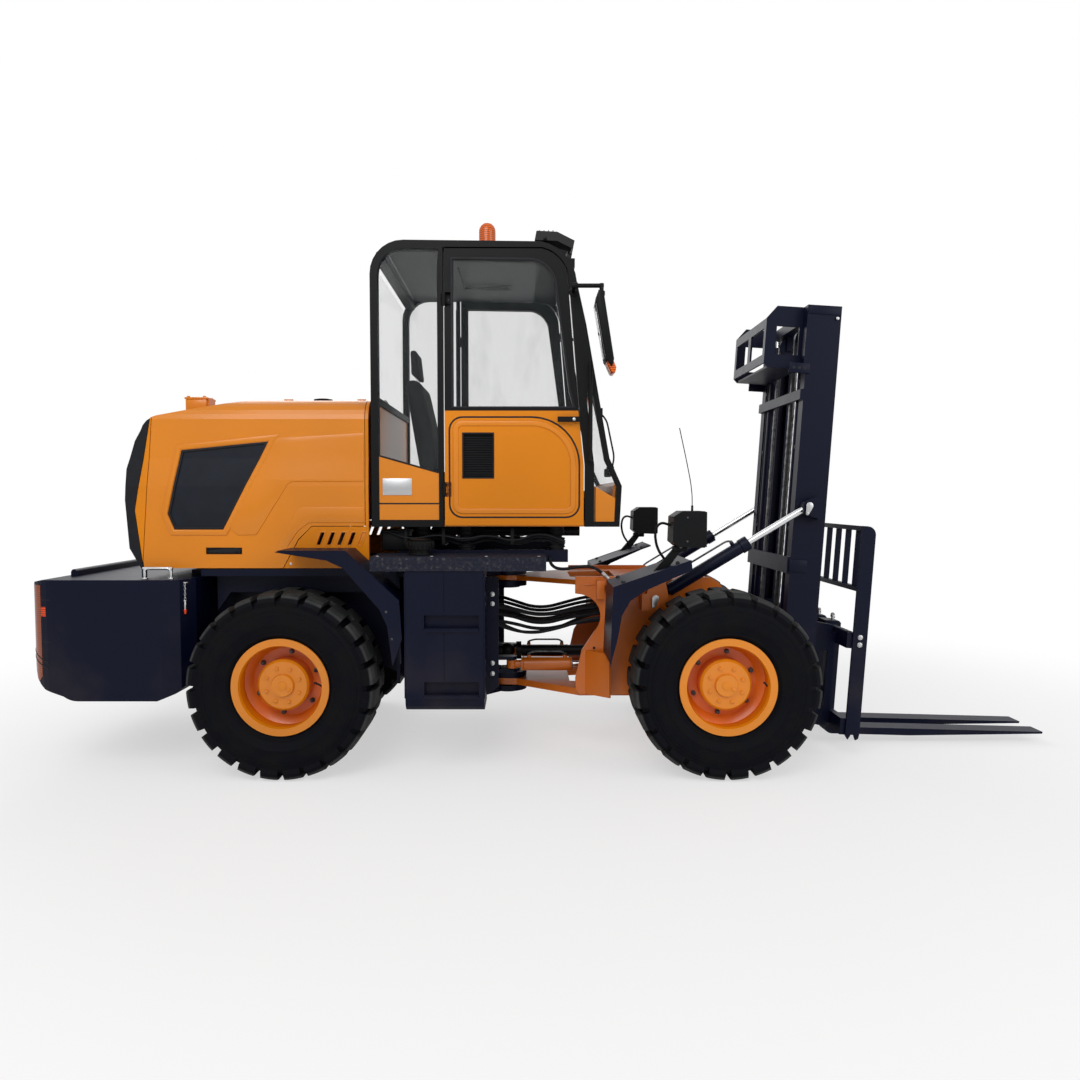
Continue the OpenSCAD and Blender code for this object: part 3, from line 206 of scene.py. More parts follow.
class Wire:
    """A node's output socket, on which sums are written as Python expressions."""

    def __init__(self, tree, socket):
        self.tree = tree
        self.socket = socket

    def node(self, kind, settings=None, inputs=None, out=0):
        """Adds a node, sets it up, feeds its sockets and gives one of its outputs."""
        node = self.tree.nodes.new(kind)
        for name, value in (settings or {}).items():
            setattr(node, name, value)
        for key, value in (inputs or {}).items():
            if isinstance(value, Wire):
                self.tree.links.new(value.socket, node.inputs[key])
            else:
                node.inputs[key].default_value = value
        return Wire(self.tree, node.outputs[out])

    def sum(self, operation, first, second=0.0):
        return self.node("ShaderNodeMath", {"operation": operation}, {0: first, 1: second})

    def __add__(self, other):
        return self.sum("ADD", self, other)

    __radd__ = __add__

    def __mul__(self, other):
        return self.sum("MULTIPLY", self, other)

    __rmul__ = __mul__

    def __sub__(self, other):
        return self.sum("SUBTRACT", self, other)

    def __rsub__(self, other):
        return self.sum("SUBTRACT", other, self)

    def size(self):
        return self.sum("ABSOLUTE", self)

    def either(self, other):
        return self.sum("MAXIMUM", self, other)

    def rise(self, low, high):
        """0 below low, 1 above high, and a smooth step between."""
        return self.node(
            "ShaderNodeMapRange", {"interpolation_type": "SMOOTHSTEP"}, {0: self, 1: low, 2: high}
        )

    def between(self, low, high):
        """1 where the value lies between low and high, with a millimetre's blend at each."""
        return self.rise(low - 0.001, low + 0.001) * (1 - self.rise(high - 0.001, high + 0.001))

    def noise(self, scale, detail):
        return self.node(
            "ShaderNodeTexNoise", None, {0: self, "Scale": scale, "Detail": detail, "Roughness": 0.55}
        )

    def stretched(self, scale):
        """Coordinates scaled along each axis, for streaks and brushing."""
        return self.node("ShaderNodeMapping", None, {0: self, 3: scale})

    def axes(self):
        """The X, Y and Z of these coordinates."""
        split = self.node("ShaderNodeSeparateXYZ", None, {0: self})
        outs = split.socket.node.outputs
        return [Wire(self.tree, outs[i]) for i in range(3)]

    def blend(self, first, second):
        """The first colour where this is 0 and the second where it is 1."""
        return self.node("ShaderNodeMix", {"data_type": "RGBA"}, {0: self, 6: first, 7: second}, out=2)

    def bump(self, strength=0.2, distance=0.001):
        return self.node(
            "ShaderNodeBump", None, {"Strength": strength, "Distance": distance, "Height": self}
        )


def shade(red, green, blue):
    """A colour as the shader wants it, from the 0 to 255 that a paint chart gives."""
    return [(c / 255) ** 2.2 for c in (red, green, blue)] + [1.0]


def scaled(colour, share):
    """A colour made lighter or darker."""
    return [min(1, c * share) for c in colour[:3]] + [1]


def grey(tone):
    return [tone, tone, tone, 1]


DUST = shade(150, 132, 110)


def material(name, build):
    """A material whose surface build(here, bsdf) wires up."""
    made = bpy.data.materials.new(name)
    made.use_nodes = True
    tree = made.node_tree
    bsdf = tree.nodes["Principled BSDF"]
    coordinates = tree.nodes.new("ShaderNodeTexCoord")
    here = Wire(tree, coordinates.outputs["Object"])
    for key, value in build(here).items():
        if isinstance(value, Wire):
            tree.links.new(value.socket, bsdf.inputs[key])
        else:
            bsdf.inputs[key].default_value = value
    return made


# ------------------------------------------------------------------ finishes


def paint(colour, gloss, dust, coat, shine=0.5):
    """Machine paint: faint orange peel, cloudy tone, and dust that thickens near the ground."""

    def build(here):
        height = here.axes()[2]
        cloud = here.noise(2.2, 4)
        speck = here.noise(90, 2)
        low = 1 - height.rise(0.2, 1.1)
        dusty = (cloud.rise(0.45, 0.75) * low * dust) + speck.rise(0.66, 0.75) * low * dust * 0.5
        tone = here.noise(0.9, 2).rise(0.3, 0.7)
        own = tone.blend(scaled(colour, 0.9), scaled(colour, 1.06))
        return {
            "Base Color": dusty.blend(own, DUST),
            "Roughness": gloss + dusty * 0.5 + here.noise(14, 3) * 0.08, "Coat Weight": coat,
            "Coat Roughness": 0.12, "Specular IOR Level": shine,
            "Normal": here.noise(260, 1).bump(0.04, 0.0006)
        }

    return build


def moulding(colour, rough=0.62, grain=500, shine=0.5):
    """Grained plastic."""

    def build(here):
        return {
            "Base Color": here.noise(6, 3).rise(0.3, 0.7).blend(colour, scaled(colour, 1.5)),
            "Roughness": rough + here.noise(20, 2) * 0.12, "Specular IOR Level": shine,
            "Normal": here.noise(grain, 2).bump(0.25, 0.0008)
        }

    return build


def bright_metal(tone=0.78, rough=0.12):
    """Polished plating with faint lengthwise marks."""

    def build(here):
        marks = here.stretched((3, 160, 160)).noise(4, 3)
        return {
            "Base Color": marks.rise(0.3, 0.8).blend(grey(tone), [tone * 0.86, tone * 0.87, tone * 0.9, 1]),
            "Metallic": 1.0, "Roughness": rough + marks * 0.08
        }

    return build


def oiled_steel(here):
    """Dark oiled steel of chains, bolts and pins."""
    grime = here.noise(30, 4).rise(0.4, 0.7)
    return {
        "Base Color": grime.blend([0.09, 0.09, 0.0945, 1], [0.036, 0.0342, 0.0315, 1]), "Metallic": 0.85,
        "Roughness": 0.36 + grime * 0.25, "Normal": here.noise(300, 2).bump(0.12, 0.0005)
    }


def rubber(here):
    """Black rubber of hoses and seals."""
    dust = here.noise(9, 5).rise(0.45, 0.8)
    return {
        "Base Color": dust.blend([0.0035, 0.0042, 0.0075, 1], [0.011, 0.0105, 0.0105, 1]),
        "Roughness": 0.55 + dust * 0.3, "Specular IOR Level": 0.3,
        "Normal": here.noise(180, 3).bump(0.15, 0.0012)
    }


def tyre_rubber(here):
    """Nearly black walls, and lugs whose tops are grey with fine dust."""
    x, _, z = here.axes()
    ahead = x.rise(PIVOT - 0.001, PIVOT + 0.001)
    along = x - REAR_AXLE - ahead * (FRONT_AXLE - REAR_AXLE)
    radius = here.node(
        "ShaderNodeVectorMath", {"operation": "LENGTH"},
        {0: here.node("ShaderNodeCombineXYZ", None, {0: along, 1: 0.0, 2: z - WHEEL_RADIUS})}, out=1
    )
    dust = here.noise(9, 5).rise(0.4, 0.75)
    tops = radius.rise(0.497, 0.506) * (0.55 + dust * 0.45)
    wall = dust.blend([0.003, 0.0034, 0.0058, 1], [0.007, 0.0068, 0.0072, 1])
    return {
        "Base Color": tops.blend(wall, [0.058, 0.06, 0.058, 1]), "Roughness": 0.55 + dust * 0.3,
        "Specular IOR Level": 0.07,
        "Normal": (here.noise(180, 3) + here.noise(30, 4) * 0.6).bump(0.3, 0.0012)
    }


def casting(here):
    """Rough sand-cast metal under thin grey paint."""
    pits = here.noise(70, 5)
    return {
        "Base Color": here.noise(5, 4).rise(0.3, 0.7).blend(
            [0.05, 0.052, 0.056, 1], [0.11, 0.11, 0.115, 1]
        ),
        "Roughness": 0.55 + pits * 0.3, "Metallic": 0.3, "Normal": pits.bump(0.4, 0.002)
    }


def window(here):
    """Tinted flat glass, a little dusty in places."""
    smear = here.stretched((1, 1, 0.4)).noise(5, 4).rise(0.5, 0.8)
    return {
        "Base Color": smear.blend([0.05, 0.065, 0.07, 1], [0.075, 0.095, 0.095, 1]),
        "Roughness": 0.03 + smear * 0.06, "Alpha": 0.09 + smear * 0.07, "Coat Weight": 0.5
    }


def lens(colour):
    """Moulded lamp lens with fine ribs, and painted shade in the grooves between them."""

    def build(here):
        ribs = here.node(
            "ShaderNodeTexWave", {"wave_type": "BANDS", "bands_direction": "Z"}, {0: here, "Scale": 26.0}
        )
        return {
            # the colour is darker where the ribs' bump is low: painted shade in the grooves
            "Base Color": ribs.rise(0.1, 0.9).blend(scaled(colour, 0.45), colour),
            "Roughness": 0.12 + here.noise(40, 2) * 0.06, "Coat Weight": 0.3, "Specular IOR Level": 0.3,
            "Normal": ribs.bump(0.25, 0.001)
        }

    return build


def two_tone(first, second, mask):
    """One finish where mask(x, y, z) is 0, and another where it is 1."""

    def build(here):
        x, y, z = here.axes()
        share = mask(x, y, z)
        one, other = first(here), second(here)
        mixed = {}
        for key in ("Base Color", "Roughness", "Metallic", "Coat Weight"):
            a = one.get(key, 0.0)
            b = other.get(key, 0.0)
            if key == "Base Color":
                mixed[key] = share.blend(a, b)
            elif isinstance(a, Wire) or isinstance(b, Wire) or a != b:
                mixed[key] = share * b + (1 - share) * a
            else:
                mixed[key] = a
        mixed["Normal"] = one["Normal"]
        for key in ("Coat Roughness", "Specular IOR Level"):
            if key in one:
                mixed[key] = one[key]
            if key in other:
                mixed[key] = other[key]
        return mixed

    return build


def weave(colour):
    """Woven cover: fine crossed threads with a softer, paler wear."""

    def build(here):
        def threads(axis):
            return here.node(
                "ShaderNodeTexWave", {"wave_type": "BANDS", "bands_direction": axis},
                {0: here, "Scale": 240.0}
            )

        cloth = threads("X") * threads("Y") + threads("Z") * 0.5
        worn = here.noise(5, 4).rise(0.45, 0.7)
        return {
            "Base Color": worn.blend(colour, scaled(colour, 1.9)), "Roughness": 0.82 + worn * 0.1,
            "Normal": (cloth + here.noise(60, 3) * 0.6).bump(0.35, 0.0012)
        }

    return build


def tread_plate(colour):
    """Painted tread plate: rows of small raised lozenges, worn pale on their tops."""

    def build(here):
        turned = here.node("ShaderNodeMapping", None, {0: here, 2: (0.0, 0.0, 0.785), 3: (1.0, 0.45, 1.0)})
        cells = turned.node(
            "ShaderNodeTexVoronoi", {"feature": "F1", "distance": "CHEBYCHEV"},
            {0: turned, "Scale": 42.0, "Randomness": 0.0}
        )
        lozenge = 1 - cells.rise(0.18, 0.3)
        grit = here.noise(55, 4).rise(0.45, 0.7)
        worn = (lozenge * grit).rise(0.2, 0.8)
        return {
            "Base Color": (grit * 0.25 + worn * 0.35 + 0.1).blend(colour, [0.085, 0.083, 0.085, 1]),
            "Roughness": 0.5 + grit * 0.3, "Coat Weight": 0.0, "Specular IOR Level": 0.4,
            "Normal": (lozenge + grit * 0.3).bump(0.5, 0.002)
        }

    return build


# ------------------------------------------------------------------ shaping

LEAN = Matrix.Translation(MAST_PIVOT) @ Matrix.Rotation(MAST_LEAN, 4, "Y")


def facing(direction):
    """The turn that takes Z to a direction."""
    return Vector((0, 0, 1)).rotation_difference(Vector(direction)).to_matrix().to_4x4()


def ring(count, radius, start=0.0, axis="y"):
    """Points spaced evenly about an axis, the first at a starting angle in degrees."""
    for i in range(count):
        turn = math.radians(start + 360 * i / count)
        a, b = radius * math.cos(turn), radius * math.sin(turn)
        yield Vector({"x": (0, a, b), "y": (a, 0, b), "z": (a, b, 0)}[axis])


CORNER_STEPS = 6


def rounded_path(points, bend):
    """A route of points with each corner rounded."""
    points = [Vector(p) for p in points]
    path = [points[0]]
    for before, corner, after in zip(points, points[1:], points[2:]):
        start = corner + (before - corner).normalized() * min(bend, (before - corner).length * 0.48)
        end = corner + (after - corner).normalized() * min(bend, (after - corner).length * 0.48)
        path += interpolate_bezier(
            start, start.lerp(corner, 0.55), end.lerp(corner, 0.55), end, CORNER_STEPS
        )
    return path + [points[-1]]


# edges that turn more than this are rounded
SHARP = 0.6


class Shape:
    """A piece being shaped with bmesh, in metres, each form put in its place as it is added."""

    def __init__(self, place=None):
        self.mesh = bmesh.new()
        self.place = place or Matrix.Identity(4)

    def settle(self, verts, turn, round_off, segments=2):
        """Puts a new form in its place and rounds its sharp edges."""
        bmesh.ops.transform(self.mesh, matrix=self.place @ turn, verts=verts)
        if round_off <= 0:
            return
        sharp = {
            e for v in verts for e in v.link_edges if len(e.link_faces) == 2 and e.calc_face_angle() > SHARP
        }
        bmesh.ops.bevel(
            self.mesh, geom=list(sharp), offset=round_off, offset_type="OFFSET", affect="EDGES",
            segments=segments, profile=0.5, material=-1, clamp_overlap=True
        )

    def box(self, low, high, round_off=0.003, turn=None, segments=2):
        """A block between two corners, turned about its middle."""
        low, high = Vector(low), Vector(high)
        verts = bmesh.ops.create_cube(self.mesh, size=1.0)["verts"]
        bmesh.ops.scale(self.mesh, vec=high - low, verts=verts)
        self.settle(
            verts, Matrix.Translation((low + high) / 2) @ (turn or Matrix.Identity(4)), round_off, segments
        )

    def rod(self, start, end, radius, round_off=0.002, steps=24, tip=None):
        """A round bar, or a cone where tip is another radius."""
        start, end = Vector(start), Vector(end)
        verts = bmesh.ops.create_cone(
            self.mesh, cap_ends=True, cap_tris=False, segments=steps, radius1=radius,
            radius2=radius if tip is None else tip, depth=(end - start).length
        )["verts"]
        self.settle(verts, Matrix.Translation((start + end) / 2) @ facing(end - start), round_off)

    def hexagon(self, foot, axis, width, height, round_off=0.0015):
        """A hexagon bar standing on foot."""
        axis = Vector(axis).normalized()
        self.rod(foot, Vector(foot) + axis * height, width / math.sqrt(3), round_off, 6)

    def bolt(self, foot, axis, width=0.024, height=0.014, washer=1.45):
        """A hexagon head on a washer."""
        axis, foot = Vector(axis).normalized(), Vector(foot)
        self.rod(foot - axis * 0.001, foot + axis * 0.003, width * washer / 2, 0.0008, 20)
        self.hexagon(foot + axis * 0.0025, axis, width, height)

    def outlined(self, outline, axis, level):
        """A face with an outline of the two other coordinates, at a level along an axis."""
        along = "xyz".index(axis)
        return self.mesh.faces.new(
            [self.mesh.verts.new([*point[:along], level, *point[along:]]) for point in outline]
        )

    def thicken(self, faces, axis, depth, round_off, segments):
        """Gives flat faces a depth along an axis, and closes and rounds them."""
        grown = bmesh.ops.extrude_face_region(self.mesh, geom=faces)["geom"]
        moved = [g for g in grown if isinstance(g, bmesh.types.BMVert)]
        bmesh.ops.translate(self.mesh, vec=Vector([depth * (axis == name) for name in "xyz"]), verts=moved)
        whole = list({f for v in moved for f in v.link_faces} | set(faces))
        bmesh.ops.recalc_face_normals(self.mesh, faces=whole)
        self.settle(list({v for f in whole for v in f.verts}), Matrix.Identity(4), round_off, segments)

    def plate(self, outline, axis, low, high, round_off=0.002, segments=2):
        """A flat outline of the two other coordinates, thick from low to high along an axis."""
        self.thicken([self.outlined(outline, axis, low)], axis, high - low, round_off, segments)

    def band(self, outline, width, axis, low, high, round_off=0.002, segments=2):
        """A closed strip of a width inside an outline, thick from low to high along an axis."""
        face = self.outlined(outline, axis, low)
        face.normal_update()
        strip = bmesh.ops.inset_region(
            self.mesh, faces=[face], thickness=width, use_even_offset=True, use_boundary=True
        )["faces"]
        bmesh.ops.delete(self.mesh, geom=[face], context="FACES_ONLY")
        self.thicken(strip, axis, high - low, round_off, segments)

    def turned(self, profile, centre, axis, steps=48, start=0.0, sweep=math.tau):
        """A closed profile of (radius, height) turned about an axis through centre, wholly or in part."""
        known = set(self.mesh.verts)
        verts = [self.mesh.verts.new((r, 0, h)) for r, h in profile]
        edges = [self.mesh.edges.new(pair) for pair in zip(verts, verts[1:] + verts[:1])]
        whole = sweep >= math.tau
        bmesh.ops.spin(
            self.mesh, geom=verts + edges, cent=(0, 0, 0), axis=UP, dvec=(0, 0, 0), angle=sweep,
            steps=steps, use_merge=whole, use_duplicate=False
        )
        made = [v for v in self.mesh.verts if v not in known]
        bmesh.ops.remove_doubles(self.mesh, verts=made, dist=1e-6)
        made = [v for v in self.mesh.verts if v not in known]
        if not whole:
            open_edges = list({e for v in made for e in v.link_edges if len(e.link_faces) == 1})
            bmesh.ops.holes_fill(self.mesh, edges=open_edges, sides=0)
        self.settle(made, Matrix.Translation(centre) @ facing(axis) @ Matrix.Rotation(start, 4, "Z"), 0)

    def tube(self, route, radius, bend=0.0, steps=12):
        """A round bar along a route, with closed ends."""
        path = rounded_path(route, bend) if bend else [Vector(p) for p in route]
        loop = bmesh.ops.create_circle(self.mesh, cap_ends=True, radius=radius, segments=steps)["verts"]
        heading = (path[1] - path[0]).normalized()
        bmesh.ops.transform(self.mesh, matrix=Matrix.Translation(path[0]) @ facing(heading), verts=loop)
        every, edges = list(loop), list({e for v in loop for e in v.link_edges})
        for i in range(1, len(path)):
            grown = bmesh.ops.extrude_edge_only(self.mesh, edges=edges)["geom"]
            loop = [g for g in grown if isinstance(g, bmesh.types.BMVert)]
            edges = [
                e for e in grown if isinstance(e, bmesh.types.BMEdge) and all(v in loop for v in e.verts)
            ]
            onward = (path[min(i + 1, len(path) - 1)] - path[i - 1]).normalized()
            turn = heading.rotation_difference(onward).to_matrix().to_4x4()
            move = Matrix.Translation(path[i]) @ turn @ Matrix.Translation(-path[i - 1])
            bmesh.ops.transform(self.mesh, matrix=move, verts=loop)
            heading = onward
            every += loop
        bmesh.ops.edgeloop_fill(self.mesh, edges=edges)
        bmesh.ops.transform(self.mesh, matrix=self.place, verts=every)


CREASE = math.radians(35)
# the slot that a finish fills, where it fills one
SLOTS = {"clear_lens": "lamp_lens", "red_lens": "lamp_lens", "amber_lens": "beacon"} | {
    name: name for name in (
        "body_paint", "frame_paint", "navy_paint", "black_paint", "dark_moulding", "tyre_rubber",
        "hose_rubber", "rod_chrome", "engine_metal"
    )
}


def piece(shape, name, body, surface, slotted=True, bend=None):
    """The finished shape as an object that rides on a body, or bends between two of them."""
    bmesh.ops.remove_doubles(shape.mesh, verts=shape.mesh.verts, dist=1e-6)
    bmesh.ops.recalc_face_normals(shape.mesh, faces=shape.mesh.faces)
    mesh = bpy.data.meshes.new(name)
    shape.mesh.to_mesh(mesh)
    shape.mesh.free()
    mesh.shade_smooth()
    mesh.set_sharp_from_angle(angle=CREASE)
    mesh.materials.append(finish(surface))
    made = bpy.data.objects.new(name, mesh)
    bpy.context.scene.collection.objects.link(made)
    if bend:
        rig.blend(made, *body, *bend)
    else:
        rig.ride(made, body)
    if slotted and surface in SLOTS:
        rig.slot(made, SLOTS[surface])
    return made


# ------------------------------------------------------------------ what a user may change


def colour_field(name, description, rgb):
    return FloatVectorProperty(
        name=name, description=description, subtype="COLOR", size=4, min=0.0, max=1.0, default=shade(*rgb)
    )


def length_field(name, description, default):
    return FloatProperty(name=name, description=description, unit="LENGTH", min=0.0, default=default)


class ForkliftColours(bpy.types.PropertyGroup):
    body: colour_field("Body", "Paint of the hood, the doors and the rims", (221, 129, 10))
    frame: colour_field("Frame", "Paint of the front frame and the axles", (206, 104, 16))
    navy: colour_field("Navy", "Paint of the counterweight, tanks, fenders and mast", (11, 17, 38))
    black: colour_field("Black", "Paint of the cab's frame and the lamps' housings", (15, 16, 18))
    moulding: colour_field("Moulding", "Dark plastic of the vents and the grille", (24, 25, 29))
    seat: colour_field("Seat", "Woven cover of the driver's seat", (26, 27, 30))
    amber: colour_field("Amber lens", "Turn lens of the rear lamps and the beacon", (246, 108, 8))
    red: colour_field("Red lens", "Stop lens of the rear lamps", (244, 74, 10))
    backdrop: colour_field("Backdrop", "Floor and wall behind the machine", (255, 255, 255))


class ForkliftSizes(bpy.types.PropertyGroup):
    frame_bolt: length_field("Frame bolt", "Width of the hexagon heads on frames and mast", 0.03)
    small_bolt: length_field("Small bolt", "Width of the hexagon heads on panels and lamps", 0.017)
    wheel_nut: length_field("Wheel nut", "Width of a wheel nut", 0.022)
    nut_circle: length_field("Nut circle", "Radius of the circle of wheel nuts", 0.176)
    hose: length_field("Hose", "Radius of a hydraulic hose", 0.011)
    seat_swell: length_field("Seat swell", "How far the seat's padding may swell", 0.016)


def colours():
    return bpy.context.scene.forklift_colours


def sizes():
    return bpy.context.scene.forklift_sizes


FINISHES = {}


def recipes():
    """How each named finish is built from the panel's colours."""
    c = colours()
    body, navy, black, amber = list(c.body), list(c.navy), list(c.black), list(c.amber)
    # deeper, redder orange for the rims' inner discs: painted shade and light bounced inside the dished rim
    deep = [body[0], body[1] * 0.66, body[2], 1]
    body_paint = paint(body, gloss=0.28, dust=0.08, coat=0.3, shine=0.38)
    black_paint = paint(black, gloss=0.42, dust=0.06, coat=0.0, shine=0.16)
    navy_paint = paint(navy, gloss=0.36, dust=0.06, coat=0.0, shine=0.16)
    return {
        "body_paint": body_paint, "frame_paint": paint(list(c.frame), gloss=0.36, dust=0.14, coat=0.25),
        "navy_paint": navy_paint,
        "counterweight": two_tone(
            navy_paint, bright_metal(), lambda x, y, z: z.rise(1.111, 1.113) * y.size().rise(0.68, 0.69)
        ),
        "deck": two_tone(tread_plate(navy), black_paint, lambda x, y, z: z.rise(1.2506, 1.2512)),
        "black_paint": black_paint, "dark_moulding": moulding(list(c.moulding), shine=0.25),
        "seal_rubber": rubber, "tyre_rubber": tyre_rubber, "hose_rubber": rubber,
        "rod_chrome": bright_metal(), "mirror_glass": bright_metal(0.5, 0.03),
        "plated_steel": bright_metal(0.55, 0.3), "chain_steel": oiled_steel, "engine_metal": casting,
        "tinted_glass": window, "vent_screen": moulding([0.006, 0.008, 0.013, 1], 0.42, 900, 0.2),
        "screen": moulding([0.008, 0.01, 0.013, 1], 0.1, 40), "amber_lens": lens(amber),
        "red_lens": lens(list(c.red)), "clear_lens": lens([0.72, 0.74, 0.76, 1]),
        "rear_lens": lens(scaled(amber, 0.4)),
        "hood_shell": two_tone(
            body_paint, black_paint, lambda x, y, z: z.rise(2.2, 2.202) * x.between(-1.63, -1.49)
        ),
        # the rim's inner disc, away from its outer face, takes the deeper orange, which paints in shade and bounced
        # light
        "rim": two_tone(
            body_paint, paint(deep, gloss=0.32, dust=0.1, coat=0.2),
            lambda x, y, z: 1 - y.size().rise(0.775, 0.835)
        ),
        "door": two_tone(
            body_paint, black_paint,
            lambda x, y, z: (
                x.between(-0.601, -0.429) * z.between(1.689, 1.941) * (1 - y.size().rise(0.6585, 0.6595))
            ).either(y.size().rise(0.6602, 0.6608)).either(z.rise(2.068, 2.074))
        ),
        "cab_lamps": two_tone(
            black_paint, lens(amber), lambda x, y, z: z.rise(3.0745, 3.0755) * x.between(-0.54, -0.4)
        ),
        "seat_cover": weave(list(c.seat)), "floor_mat": moulding([0.02, 0.02, 0.021, 1], 0.75, 260)
    }


def finish(name):
    """The named finish, made the first time that it is asked for."""
    if name not in FINISHES:
        FINISHES[name] = material(name, recipes()[name])
    return FINISHES[name]


# ------------------------------------------------------------------ operators

NODE_FINISHES = {
    "counterweight": ("counterweight",), "deck": ("decks",),
    "navy_paint": (
        "rear_frame", "tanks", "rear_fenders", "front_fenders", "outer_mast", "lift_barrels", "inner_mast",
        "carriage", "fork_right", "fork_left", "tilt_barrel_right", "tilt_barrel_left"
    ),
    "frame_paint": ("front_frame", "front_axle", "rear_axle", "steer_barrel_right", "steer_barrel_left"),
    "body_paint": ("hood_door_right", "hood_door_left", "cab_panels"),
    "rim": ("rim_rear_right", "rim_rear_left", "rim_front_right", "rim_front_left"),
    "door": ("cab_door_right", "cab_door_left"), "hood_shell": ("hood_shell",),
    "black_paint": (
        "cab_frame", "cab_roof", "cab_mounts", "rear_shaft", "front_shaft", "headlamps", "mirrors"
    ),
    "dark_moulding": ("rear_grille", "steering_column"),
    "vent_screen": ("hood_vent_right", "hood_vent_left"), "seat_cover": ("seat",),
    "engine_metal": ("engine",), "tinted_glass": ("cab_glass", "door_glass_right", "door_glass_left"),
    "rear_lens": ("rear_lamps",), "cab_lamps": ("cab_lamps",),
    "tyre_rubber": ("tyre_rear_right", "tyre_rear_left", "tyre_front_right", "tyre_front_left"),
    "rod_chrome": ("lift_rods", "tilt_rod_right", "tilt_rod_left", "steer_rod_right", "steer_rod_left"),
    "chain_steel": ("mast_chains",), "hose_rubber": ("hoses",)
}


class FORKLIFT_OT_finishes(bpy.types.Operator):
    """Gives every solid of the frame its finish"""

    bl_idname = "forklift.finishes"
    bl_label = "Finishes"

    def execute(self, context):
        for surface, names in NODE_FINISHES.items():
            for name in names:
                node = frame["nodes"][name]
                if not node.material_slots:
                    raise RuntimeError(f"{name} has no material slot")
                for held in node.material_slots:
                    held.material = finish(surface)
        return {"FINISHED"}


class FORKLIFT_OT_stage(bpy.types.Operator):
    """Floor, backdrop, soft lamps and the camera"""

    bl_idname = "forklift.stage"
    bl_label = "Stage"

    def execute(self, context):
        scene = context.scene
        scene.view_settings.view_transform = "Standard"
        self.floor(scene)
        self.world(scene)
        for name, place, aim, size, power in (
            ("key", (-2.5, -8.5, 7.5), (0, 0, 1.2), 6.0, 430),
            ("fill", (6.5, -5.5, 4.0), (0.6, 0, 1.0), 5.0, 150),
            ("back", (-3.0, 7.0, 6.0), (0, 0, 1.5), 6.0, 200)
        ):
            lamp = bpy.data.lights.new(name, "AREA")
            lamp.energy, lamp.size = power, size
            holder = bpy.data.objects.new(name, lamp)
            holder.location = place
            holder.rotation_euler = (Vector(aim) - Vector(place)).to_track_quat("-Z", "Y").to_euler()
            scene.collection.objects.link(holder)
        camera = bpy.data.cameras.new("camera")
        camera.lens, camera.sensor_width, camera.sensor_fit = 27.67, 36.0, "HORIZONTAL"
        camera.shift_x = 0.0139
        holder = bpy.data.objects.new("camera", camera)
        holder.location = (-0.246, -5.45, 1.58)
        holder.rotation_euler = (math.radians(87), 0, 0)
        scene.collection.objects.link(holder)
        scene.camera = holder
        return {"FINISHED"}

    def floor(self, scene):
        shape = bmesh.new()
        bmesh.ops.create_grid(shape, x_segments=1, y_segments=1, size=60)
        mesh = bpy.data.meshes.new("floor")
        shape.to_mesh(mesh)
        shape.free()
        ground = bpy.data.objects.new("floor", mesh)
        made = bpy.data.materials.new("floor")
        made.use_nodes = True
        tree = made.node_tree
        matt, out = tree.nodes["Principled BSDF"], tree.nodes["Material Output"]
        white = list(colours().backdrop)
        matt.inputs["Base Color"].default_value = white
        matt.inputs["Roughness"].default_value = 0.95
        glow = tree.nodes.new("ShaderNodeEmission")
        glow.inputs["Color"].default_value = white
        # the floor fades into the white wall, and keeps the shadow near the machine
        here = Wire(tree, tree.nodes.new("ShaderNodeTexCoord").outputs["Object"])
        away = here.node("ShaderNodeVectorMath", {"operation": "LENGTH"}, {0: here}, out=1)
        seen = Wire(tree, tree.nodes.new("ShaderNodeLightPath").outputs["Is Camera Ray"])
        mix = tree.nodes.new("ShaderNodeMixShader")
        tree.links.new((seen * (away.rise(2.5, 6.0) * 0.45 + 0.55)).socket, mix.inputs[0])
        tree.links.new(matt.outputs[0], mix.inputs[1])
        tree.links.new(glow.outputs[0], mix.inputs[2])
        tree.links.new(mix.outputs[0], out.inputs["Surface"])
        mesh.materials.append(made)
        scene.collection.objects.link(ground)
        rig.stage(ground)

    def world(self, scene):
        made = bpy.data.worlds.new("studio")
        made.use_nodes = True
        tree = made.node_tree
        tree.nodes.clear()
        paths = tree.nodes.new("ShaderNodeLightPath")
        start = Wire(tree, paths.outputs["Is Camera Ray"])
        seen = start.either(Wire(tree, paths.outputs["Is Glossy Ray"]) * 0.7).either(
            Wire(tree, paths.outputs["Is Transmission Ray"])
        )
        plain = tree.nodes.new("ShaderNodeBackground")
        plain.inputs["Color"].default_value = (1, 1, 1, 1)
        plain.inputs["Strength"].default_value = 0.4
        white = tree.nodes.new("ShaderNodeBackground")
        white.inputs["Color"].default_value = (1, 1, 1, 1)
        white.inputs["Strength"].default_value = 1.0
        mix = tree.nodes.new("ShaderNodeMixShader")
        tree.links.new(seen.socket, mix.inputs[0])
        tree.links.new(plain.outputs[0], mix.inputs[1])
        tree.links.new(white.outputs[0], mix.inputs[2])
        out = tree.nodes.new("ShaderNodeOutputWorld")
        tree.links.new(mix.outputs[0], out.inputs["Surface"])
        scene.world = made


